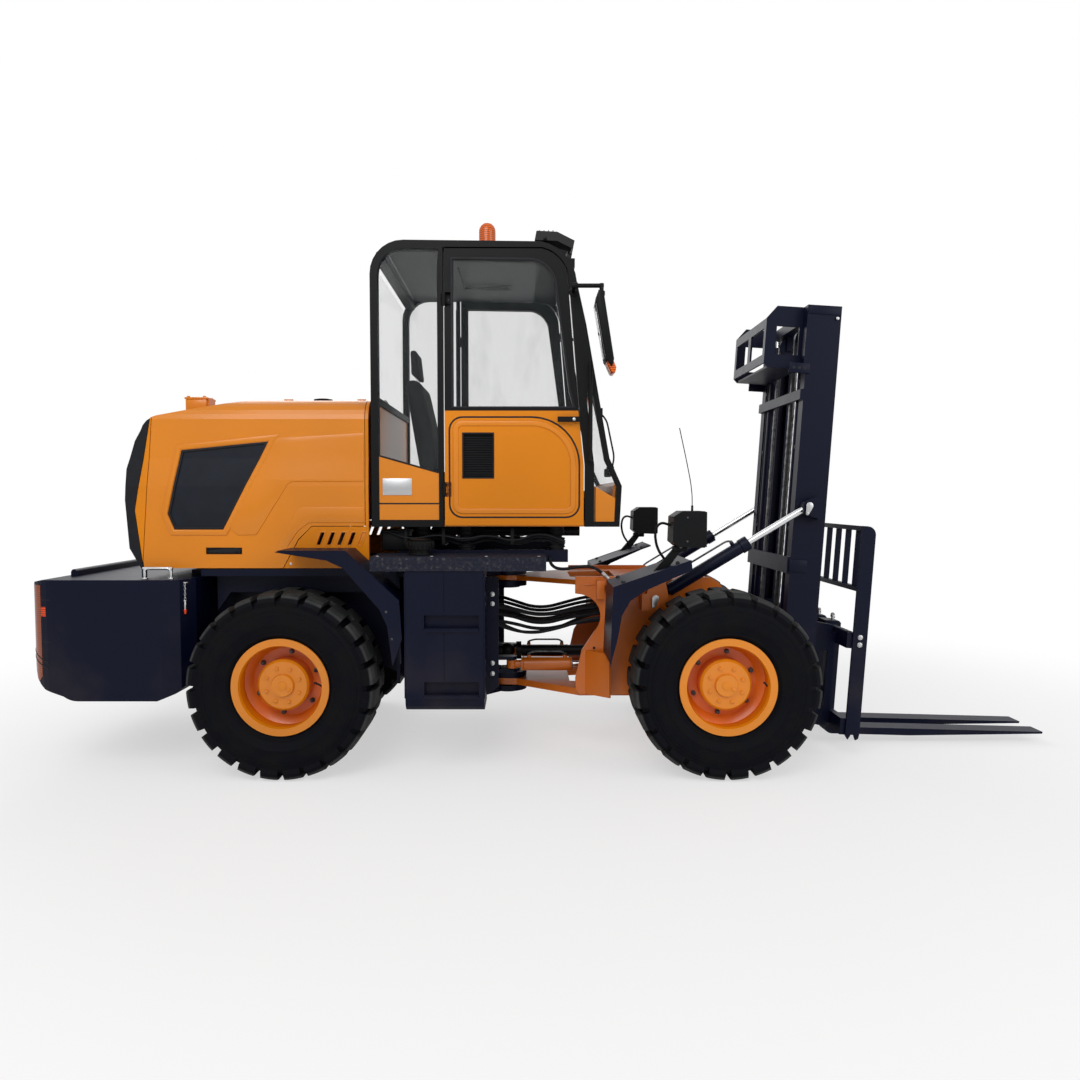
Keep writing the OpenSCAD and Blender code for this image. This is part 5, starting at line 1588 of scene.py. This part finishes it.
class FORKLIFT_OT_controls(bpy.types.Operator):
    """Steering wheel's hub and knob, instrument hood, levers, pedals and floor mat"""

    bl_idname = "forklift.controls"
    bl_label = "Controls"

    def execute(self, context):
        place = Matrix.Translation((0.02, 0, 1.945)) @ Matrix.Rotation(math.radians(-28), 4, "Y")
        wheel = Shape(place)
        wheel.turned(
            [(0.0, 0.1425), (0.03, 0.1425), (0.046, 0.1405), (0.0505, 0.134), (0.0, 0.134)], (0, 0, 0), UP,
            40
        )
        # finger grips under the rim, and the spinner knob
        for out in ring(36, 1.0, axis="z"):
            wheel.rod(
                out * 0.168 + Vector((0, 0, 0.116)), out * 0.186 + Vector((0, 0, 0.119)), 0.006, 0.002, 8
            )
        wheel.rod((-0.124, 0.124, 0.142), (-0.124, 0.124, 0.168), 0.009, 0.002)
        wheel.rod((-0.124, 0.124, 0.166), (-0.124, 0.124, 0.2), 0.02, 0.009, 24)
        wheel.tube([(0.01, 0.02, 0.07), (0.012, 0.1, 0.078), (0.012, 0.165, 0.086)], 0.0055, 0.03, 10)
        wheel.rod((0.012, 0.15, 0.084), (0.012, 0.19, 0.089), 0.01, 0.004, 16)
        piece(wheel, "steering_wheel_trim", "rear_body", "dark_moulding")
        self.instruments()
        self.levers()
        return {"FINISHED"}

    def instruments(self):
        hood = Shape()
        hood.plate(
            [(0.064, 1.966), (0.098, 1.962), (0.128, 2.052), (0.12, 2.078), (0.086, 2.07), (0.06, 1.99)],
            "y", -0.105, 0.105, 0.01, 3
        )
        piece(hood, "instrument_hood", "rear_body", "dark_moulding")
        face = Shape()
        for y in (-0.055, 0.0, 0.055):
            face.rod((0.0775, y, 2.028), (0.0685, y, 2.031), 0.023, 0.0015, 28)
        piece(face, "gauges", "rear_body", "screen")

    def levers(self):
        desk = Shape()
        desk.box((-0.64, -0.48, 1.4435), (-0.2, -0.35, 1.76), 0.022, segments=4)
        desk.box((-0.62, -0.47, 1.756), (-0.42, -0.36, 1.8), 0.018, segments=4)
        piece(desk, "side_console", "rear_body", "dark_moulding")
        stems, knobs, boots = Shape(), Shape(), Shape()
        for i in range(4):
            x = -0.37 + i * 0.042
            boots.rod((x, -0.415, 1.758), (x, -0.415, 1.792), 0.019, 0.003, 20, 0.009)
            stems.rod((x, -0.415, 1.78), (x + 0.016, -0.415, 1.9), 0.0055)
            knobs.rod((x + 0.0145, -0.415, 1.892), (x + 0.0205, -0.415, 1.935), 0.0155, 0.01, 20)
        piece(stems, "lever_stems", "rear_body", "rod_chrome")
        piece(knobs, "lever_knobs", "rear_body", "dark_moulding")
        piece(boots, "lever_boots", "rear_body", "seal_rubber")
        mat = Shape()
        mat.box((-0.99, -0.595, 1.4432), (0.235, 0.595, 1.4492), 0.002)
        for i in range(14):
            mat.box((-0.35 + i * 0.03, -0.34, 1.449), (-0.338 + i * 0.03, 0.59, 1.4515), 0.001, segments=1)
        piece(mat, "floor_mat", "rear_body", "floor_mat")
        pedals = Shape()
        for y in (-0.205, 0.165):
            pad = Matrix.Rotation(math.radians(-42), 4, "Y")
            pedals.box((0.12, y - 0.034, 1.56), (0.18, y + 0.034, 1.57), 0.004, pad)
            pedals.tube([(0.15, y, 1.562), (0.19, y, 1.5), (0.17, y, 1.452)], 0.008, 0.03, 10)
        piece(pedals, "pedals", "rear_body", "black_paint")


class FORKLIFT_OT_underside(bpy.types.Operator):
    """Rubber mounts, wiring and pipes under the cab, and the radiator's fins"""

    bl_idname = "forklift.underside"
    bl_label = "Under the cab"

    def execute(self, context):
        for side, place in SIDES:
            mounts = Shape(place)
            for x in (-0.86, -0.6, -0.06):
                for i in range(5):
                    z = 1.272 + i * 0.024
                    mounts.turned(
                        [
                            (0.034, z), (0.052, z + 0.004), (0.055, z + 0.009), (0.052, z + 0.014),
                            (0.034, z + 0.018)
                        ],
                        (x, -0.475, 0), UP, 32
                    )
            piece(mounts, f"mount_bellows_{side}", "rear_body", "seal_rubber")
            self.wiring(place, side)
            self.tray(place, side)
        self.radiator()
        return {"FINISHED"}

    def wiring(self, place, side):
        """Bundles that hang between the deck and the cab's floor."""
        loom, steel = Shape(place), Shape(place)
        sag = random.Random(31)
        for i in range(7):
            y = -0.575 + i * 0.03
            top = 1.376 - 0.012 * (i % 3)
            route = [(-1.06, y, top)]
            for k in range(1, 8):
                x = -1.06 + k * 0.15
                route.append(
                    (
                        x, y + sag.uniform(-0.012, 0.012),
                        top - (0.05 if k % 2 else 0.0) - sag.uniform(0.0, 0.022)
                    )
                )
            loom.tube(route, 0.007 + 0.0012 * (i % 3), 0.07, 10)
        piece(loom, f"loom_{side}", "rear_body", "hose_rubber")
        for x in (-0.955, -0.735, -0.33):
            steel.box((x, -0.588, 1.29), (x + 0.02, -0.38, 1.3), 0.002)
            steel.box((x, -0.588, 1.29), (x + 0.02, -0.58, 1.395), 0.002)
        piece(steel, f"loom_clips_{side}", "rear_body", "black_paint")

    def tray(self, place, side):
        """Battery box and the pair of pipes beside the rear mount."""
        case = Shape(place)
        case.box((-1.09, -0.56, 1.262), (-0.94, -0.33, 1.372), 0.008)
        case.box((-1.094, -0.564, 1.366), (-0.936, -0.326, 1.382), 0.004)
        for y in (-0.5, -0.4):
            case.tube(
                [(-0.94, y, 1.33), (-0.8, y, 1.322), (-0.5, y, 1.33), (-0.14, y, 1.322)], 0.011, 0.04, 12
            )
        piece(case, f"battery_box_{side}", "rear_body", "black_paint")

    def radiator(self):
        core = Shape()
        for i in range(24):
            z = 1.185 + i * 0.024
            core.box((-2.4345, -0.292, z), (-2.429, 0.292, z + 0.004), 0.0005, segments=1)
        piece(core, "radiator_fins", "rear_body", "engine_metal")


TEARDROP = arc((0.0, 0.012), 0.021, -20, 200, 12) + arc((-0.01, -0.034), 0.0105, 195, 345, 6)


def keeper(shape, x, z, face):
    """Teardrop plate that keeps a pin from turning, with its bolt, on a face looking to the right."""
    shape.plate([(x + a, z + b) for a, b in TEARDROP], "y", face, face - 0.005, 0.0012)
    shape.bolt((x - 0.01, face - 0.005, z - 0.033), OUT, 0.011, 0.006, 1.2)


class FORKLIFT_OT_front_frame(bpy.types.Operator):
    """Gussets, weld beads, pin keepers and bolts of the front frame, and the flanges of both axles"""

    bl_idname = "forklift.front_frame"
    bl_label = "Front frame"

    def execute(self, context):
        for side, place in SIDES:
            self.plates(place, side)
        for end, x in AXLES:
            self.axle(f"{end}_body", x)
        return {"FINISHED"}

    def plates(self, place, side):
        painted = Shape(place)
        painted.box((0.186, -0.47, 0.962), (0.234, -0.4195, 1.074), 0.004)
        painted.box((0.112, -0.4265, 1.04), (0.18, -0.4195, 1.05), 0.002)
        # weld beads of the lug's web and the flared guard
        painted.tube([(0.448, -0.4215, 0.902), (0.448, -0.4215, 0.998)], 0.004, steps=8)
        painted.tube([(0.142, -0.4215, 0.378), (0.142, -0.4215, 0.638)], 0.004, steps=8)
        for z in (0.7595, 1.0405):
            painted.tube([(0.244, -0.4225, z), (0.244, -0.556, z)], 0.003, steps=8)
        piece(painted, f"front_gussets_{side}", "front_body", "frame_paint")
        # thin black discs on the plate stand for its holes: painted shade of the holes' insides, in the rubber finish
        # only for its black
        holes = Shape(place)
        for z in (0.628, 0.656):
            holes.rod((0.176, -0.419, z), (0.176, -0.4206, z), 0.0085, 0.0003, 20)
        piece(holes, f"plate_hole_shade_{side}", "front_body", "seal_rubber")
        steel = Shape(place)
        keeper(steel, 0.53, 0.962, -0.5402)
        for x in (0.815, 0.945):
            steel.bolt((x, -0.365, 0.6648), UP, sizes().frame_bolt, 0.016)
        piece(steel, f"front_keepers_{side}", "front_body", "plated_steel")
        fixings = Shape(place)
        for x, z in ((0.3, 1.108), (0.6, 1.213)):
            for y in (-0.58, -0.86):
                fixings.bolt((x, y, z - 0.0008), (-0.33, 0, 0.944), sizes().small_bolt, 0.007)
        piece(fixings, f"front_fender_bolts_{side}", "front_body", "chain_steel")

    def axle(self, body, x):
        flange, bolts = Shape(), Shape()
        flange.turned(
            [(0.1845, -0.01), (0.202, -0.008), (0.202, 0.008), (0.1845, 0.01)], (x, 0, WHEEL_RADIUS),
            (0, 1, 0), 64
        )
        for y in (-0.3, 0.3):
            flange.turned(
                [(0.0755, -0.008), (0.0835, -0.005), (0.0835, 0.005), (0.0755, 0.008)],
                (x, y, WHEEL_RADIUS), (0, 1, 0), 40
            )
        piece(flange, f"axle_flange_{body}", body, "frame_paint")
        middle = Vector((x, 0, WHEEL_RADIUS))
        for face in (-1, 1):
            for out in ring(16, 0.192):
                bolts.hexagon(
                    middle + out + Vector((0, 0.0075 * face, 0)), (0, face, 0), 0.015, 0.008, 0.001
                )
            for out in ring(12, 0.109):
                bolts.hexagon(
                    middle + out + Vector((0, 0.54 * face, 0)), (0, -face, 0), 0.017, 0.009, 0.001
                )
        piece(bolts, f"axle_bolts_{body}", body, "chain_steel")


class FORKLIFT_OT_headlamps(bpy.types.Operator):
    """Lenses, bezels, clamps and cables of the headlamps, and the marker wand"""

    bl_idname = "forklift.headlamps"
    bl_label = "Headlamps"

    def execute(self, context):
        for side, place in SIDES:
            glass = Shape(place)
            glass.box((0.7345, -0.9165, 1.3135), (0.7425, -0.7635, 1.4865), 0.003)
            for i in range(9):
                glass.box(
                    (0.7415, -0.908 + i * 0.0155, 1.322), (0.7437, -0.904 + i * 0.0155, 1.478), 0.0008,
                    segments=1
                )
            piece(glass, f"headlamp_lens_{side}", "front_body", "clear_lens")
            shell = Shape(place)
            shell.band(
                [(-0.926, 1.304), (-0.754, 1.304), (-0.754, 1.496), (-0.926, 1.496)], 0.01, "x", 0.744,
                0.7475, 0.0015
            )
            for z in (1.345, 1.375, 1.405, 1.435, 1.465):
                shell.box((0.562, -0.905, z), (0.5655, -0.775, z + 0.006), 0.001)
            shell.box((0.575, -0.868, 1.276), (0.655, -0.812, 1.306), 0.006)
            shell.tube(
                [
                    (0.566, -0.815, 1.42), (0.505, -0.815, 1.44), (0.478, -0.815, 1.38),
                    (0.492, -0.815, 1.29), (0.545, -0.815, 1.215)
                ],
                0.0075, 0.035, 10
            )
            piece(shell, f"headlamp_shell_{side}", "front_body", "black_paint")
            steel = Shape(place)
            for y, face in ((-0.8605, -1), (-0.8195, 1)):
                steel.bolt((0.615, y, 1.302), (0, face, 0), sizes().small_bolt, 0.009)
            for z in (1.335, 1.465):
                steel.hexagon((0.64, -0.9295, z), OUT, 0.01, 0.004, 0.0008)
            piece(steel, f"headlamp_bolts_{side}", "front_body", "chain_steel")
        wand = Shape()
        wand.rod((0.69, -0.8, 1.497), (0.69, -0.8, 1.53), 0.0065, 0.002, 16)
        wand.tube(
            [(0.69, -0.8, 1.525), (0.688, -0.8, 1.62), (0.66, -0.8, 1.76), (0.615, -0.8, 1.961)], 0.0026,
            0.08, 8
        )
        piece(wand, "marker_wand", "front_body", "dark_moulding")
        return {"FINISHED"}


class FORKLIFT_OT_cylinders(bpy.types.Operator):
    """Ports, pipes, gland bolts and weld rings of the tilt and steering cylinders"""

    bl_idname = "forklift.cylinders"
    bl_label = "Cylinders"

    def execute(self, context):
        # how steeply the tilt cylinders stand at rest
        slope = math.radians(31.295)
        for side, place in SIDES:
            tilt = place @ Matrix.Translation((0.536, -0.475, 0.966)) @ Matrix.Rotation(-slope, 4, "Y")
            self.barrel(tilt, f"tilt_cylinder_{side}", "navy_paint", 0.038, (0.06, 0.6), 0.044, 0.65)
            steer = place @ Matrix.Translation((-0.33, -0.225, 0.52))
            self.barrel(
                steer, f"steering_cylinder_{side}", "frame_paint", 0.042, (0.075, 0.372), 0.042, 0.38
            )
        return {"FINISHED"}

    def barrel(self, place, body, surface, radius, ends, gland, mouth):
        painted = Shape(place)
        for x in ends:
            painted.turned(
                [(radius - 0.001, -0.004), (radius + 0.0035, 0.0), (radius - 0.001, 0.004)], (x, 0, 0),
                AHEAD, 40
            )
        for x in (ends[0] + 0.035, ends[1] - 0.035):
            painted.rod((x, 0, radius - 0.004), (x, 0, radius + 0.014), 0.0125, 0.002, 20)
        piece(painted, f"bosses_{body}", body, surface)
        steel = Shape(place)
        high = radius + 0.014
        for x in (ends[0] + 0.035, ends[1] - 0.035):
            steel.hexagon((x, 0, high - 0.001), UP, 0.02, 0.012)
        # pipe from the mouth's port back to the tail, and its clamp
        steel.tube(
            [
                (ends[1] - 0.035, 0, high + 0.008), (ends[1] - 0.055, 0, high + 0.022),
                (ends[0] + 0.075, 0, high + 0.022), (ends[0] + 0.035, 0, high + 0.01)
            ],
            0.006, 0.018, 10
        )
        for out in ring(6, gland - 0.008, 30, "x"):
            steel.hexagon(out + Vector((mouth - 0.0005, 0, 0)), AHEAD, 0.009, 0.005, 0.0006)
        steel.turned(
            [(0.0215, 0.0), (0.029, 0.0), (0.028, 0.005), (0.0215, 0.007)], (mouth - 0.0005, 0, 0), AHEAD,
            32
        )
        piece(steel, f"pipes_{body}", body, "chain_steel")


HOSE_ROUTE = (
    (-0.56, 1.0, 0.0), (-0.48, 1.0, 0.0), (-0.4, 0.9, -0.015), (-0.3, 0.7, -0.04), (-0.2, 0.62, -0.07),
    (-0.09, 0.62, -0.072), (0.02, 0.7, -0.045), (0.13, 0.82, -0.02), (0.24, 0.9, -0.005), (0.32, 0.92, 0.0),
    (0.4, 0.92, 0.0)
)
HOSE_ENDS = ((0.3, 0.9), (0.25, 0.85), (0.2, 0.8), (0.14, 0.89), (0.08, 0.84))


class FORKLIFT_OT_hoses(bpy.types.Operator):
    """Hydraulic hoses over the pivot, which bend as the machine steers, with crimped steel ends"""

    bl_idname = "forklift.hoses"
    bl_label = "Hoses"

    def execute(self, context):
        bent, rear, front = Shape(), Shape(), Shape()
        for y, z in HOSE_ENDS:
            for side in (-1, 1):
                route = [(x, side * y * narrow, z + drop) for x, narrow, drop in HOSE_ROUTE]
                bent.tube(route, sizes().hose, 0.045, 16)
                self.end(rear, Vector((-0.56, side * y, z)), 1)
                self.end(front, Vector((0.4, side * y * 0.92, z)), -1)
        # two slack hoses that hang lower, on the right
        for y, z, sag in ((-0.335, 0.835, 0.115), (-0.17, 0.845, 0.15)):
            route = [
                (-0.56, y, z), (-0.46, y, z - sag * 0.25), (-0.33, y * 0.85, z - sag * 0.8),
                (-0.2, y * 0.75, z - sag), (-0.05, y * 0.72, z - sag * 0.8),
                (0.12, y * 0.8, z - sag * 0.25), (0.26, y * 0.9, z - 0.005), (0.4, y * 0.92, z)
            ]
            bent.tube(route, sizes().hose * 0.9, 0.08, 16)
            self.end(rear, Vector((-0.56, y, z)), 1)
            self.end(front, Vector((0.4, y * 0.92, z)), -1)
        made = piece(
            bent, "hydraulic_hoses", ("rear_body", "front_body"), "hose_rubber",
            bend=((-0.52, 0, 0.85), (0.28, 0, 0.85))
        )
        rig.replaces(made, "hoses")
        piece(rear, "hose_ends_rear", "rear_body", "plated_steel")
        piece(front, "hose_ends_front", "front_body", "plated_steel")
        loop = Shape()
        loop.tube(
            [
                (-0.1, -0.56, 1.222), (-0.092, -0.55, 1.17), (-0.03, -0.5, 1.142), (0.09, -0.44, 1.158),
                (0.17, -0.425, 1.156), (0.228, -0.42, 1.112)
            ],
            0.0095, 0.045, 14
        )
        piece(
            loop, "loop_hose", ("rear_body", "front_body"), "hose_rubber",
            bend=((-0.1, 0, 1.15), (0.2, 0, 1.15))
        )
        fitting = Shape()
        fitting.rod((0.222, -0.4205, 1.118), (0.252, -0.418, 1.088), 0.012, 0.0015, 20)
        fitting.hexagon((0.25, -0.4182, 1.09), (0.7, 0.05, -0.7), 0.024, 0.016)
        piece(fitting, "loop_fitting", "front_body", "plated_steel")
        return {"FINISHED"}

    def end(self, shape, foot, onward):
        """Crimped ferrule, swivel nut and adaptor of a hose, from its end inwards."""
        along = Vector((onward, 0, 0))
        shape.rod(foot + along * 0.026, foot + along * 0.076, sizes().hose * 1.36, 0.002, 16)
        for i in range(3):
            crimp = foot + along * (0.036 + i * 0.013)
            shape.rod(crimp, crimp + along * 0.005, sizes().hose * 1.46, 0.001, 16)
        shape.hexagon(foot + along * 0.01, along, 0.029, 0.018)
        shape.rod(foot - along * 0.004, foot + along * 0.014, sizes().hose * 0.95, 0.001, 16)


class FORKLIFT_OT_mast(bpy.types.Operator):
    """Tie plates, keepers, lift hoses, chain bolts and fixings of the mast, the carriage and the forks"""

    bl_idname = "forklift.mast"
    bl_label = "Mast"

    def execute(self, context):
        for side, turn in SIDES:
            place = turn @ LEAN
            self.rails(place, side)
            self.carriage(place, side)
            self.fork(place, f"{side}_fork")
        return {"FINISHED"}

    def rails(self, place, side):
        painted, holes, steel, hose = Shape(place), Shape(place), Shape(place), Shape(place)
        painted.box((0.058, -0.4505, 0.65), (0.166, -0.439, 0.726), 0.003)
        painted.box((-0.034, -0.452, 1.842), (0.09, -0.439, 1.902), 0.003)
        painted.box((0.06, -0.445, 2.196), (0.25, -0.439, 2.244), 0.003)
        # weld beads between the rail and its ties
        for z in (0.64, 0.74, 1.69, 1.75):
            painted.tube([(0.066, -0.44, z), (0.066, -0.366, z)], 0.0035, steps=8)
        piece(painted, f"mast_plates_{side}", "mast", "navy_paint")
        # thin black discs on the tie plate stand for its holes: painted shade of the holes' insides, in the rubber
        # finish only for its black
        for x in (-0.006, 0.026, 0.058):
            holes.rod((x, -0.451, 1.872), (x, -0.4526, 1.872), 0.0095, 0.0003, 20)
        piece(holes, f"mast_hole_shade_{side}", "mast", "seal_rubber")
        steel.hexagon((0.232, -0.4445, 2.176), OUT, 0.018, 0.009)
        keeper(steel, 0.126, 1.043, -0.5302)
        steel.hexagon((0.106, -0.297, 2.1195), UP, 0.03, 0.004)
        steel.rod((0.08, -0.322, 2.085), (0.098, -0.304, 2.085), 0.0095, 0.001, 16)
        piece(steel, f"mast_keepers_{side}", "mast", "plated_steel")
        hose.tube(
            [
                (0.084, -0.318, 2.085), (0.07, -0.336, 2.06), (0.0805, -0.3455, 1.96),
                (0.0805, -0.3455, 1.3), (0.0805, -0.3455, 0.56)
            ],
            0.0085, 0.05, 12
        )
        for z in (0.9, 1.4, 1.8):
            hose.box((0.068, -0.356, z), (0.092, -0.335, z + 0.022), 0.003)
        piece(hose, f"lift_hose_{side}", "mast", "hose_rubber")

    def carriage(self, place, side):
        steel = Shape(place)
        for z in (0.245, 0.29):
            steel.bolt((0.487, -0.5355, z), OUT, 0.024, 0.007, 1.3)
        # threaded end of the chain, with its lock nuts
        steel.rod((0.222, -0.16, 0.325), (0.222, -0.16, 0.398), 0.007, 0.001, 16)
        steel.hexagon((0.222, -0.16, 0.3805), UP, 0.02, 0.008)
        steel.hexagon((0.222, -0.16, 0.389), UP, 0.02, 0.006)
        piece(steel, f"carriage_bolts_{side}", "fork_carriage", "plated_steel")
        bar = Shape(place)
        # notches of the upper bar, where the forks lock
        for i in range(8):
            y = -0.5 + i * 0.058
            bar.box((0.4165, y, 0.314), (0.452, y + 0.04, 0.3185), 0.0012)
        piece(bar, f"bar_notches_{side}", "fork_carriage", "navy_paint")

    def fork(self, place, body):
        steel = Shape(place)
        y = -0.125
        steel.rod((0.47, y, 0.3), (0.47, y, 0.372), 0.01, 0.0015, 16)
        steel.tube(
            [
                (0.47, y - 0.03, 0.35), (0.47, y - 0.028, 0.372), (0.47, y, 0.38), (0.47, y + 0.028, 0.372),
                (0.47, y + 0.03, 0.35)
            ],
            0.0045, 0.01, 10
        )
        piece(steel, f"fork_lock_{body}", body, "plated_steel")


# ------------------------------------------------------------------ add-on

GROUPS = (ForkliftColours, ForkliftSizes)
PANEL_ORDER = tuple(
    c for c in list(globals().values()) if isinstance(c, type) and issubclass(c, bpy.types.Operator)
)


class FORKLIFT_PT_pieces(bpy.types.Panel):
    """Colours, sizes and pieces of the forklift"""

    bl_idname = "FORKLIFT_PT_pieces"
    bl_label = "Rough terrain forklift"
    bl_space_type = "VIEW_3D"
    bl_region_type = "UI"
    bl_category = "Forklift"

    def draw(self, context):
        for held, group in ((colours(), ForkliftColours), (sizes(), ForkliftSizes)):
            for field in group.__annotations__:
                self.layout.prop(held, field)
        for maker in PANEL_ORDER:
            self.layout.operator(maker.bl_idname)


def register():
    for made in GROUPS + PANEL_ORDER + (FORKLIFT_PT_pieces,):
        bpy.utils.register_class(made)
    bpy.types.Scene.forklift_colours = PointerProperty(type=ForkliftColours)
    bpy.types.Scene.forklift_sizes = PointerProperty(type=ForkliftSizes)


def unregister():
    del bpy.types.Scene.forklift_colours
    del bpy.types.Scene.forklift_sizes
    for made in reversed(GROUPS + PANEL_ORDER + (FORKLIFT_PT_pieces,)):
        bpy.utils.unregister_class(made)


def main():
    register()
    for maker in PANEL_ORDER:
        getattr(bpy.ops.forklift, maker.bl_idname.split(".")[1])()
    with open("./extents.json", "w") as file:
        json.dump({"cad": CAD_BOX, "visual": [list(corner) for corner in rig.bounds()]}, file)


if __name__ == "__main__":
    main()
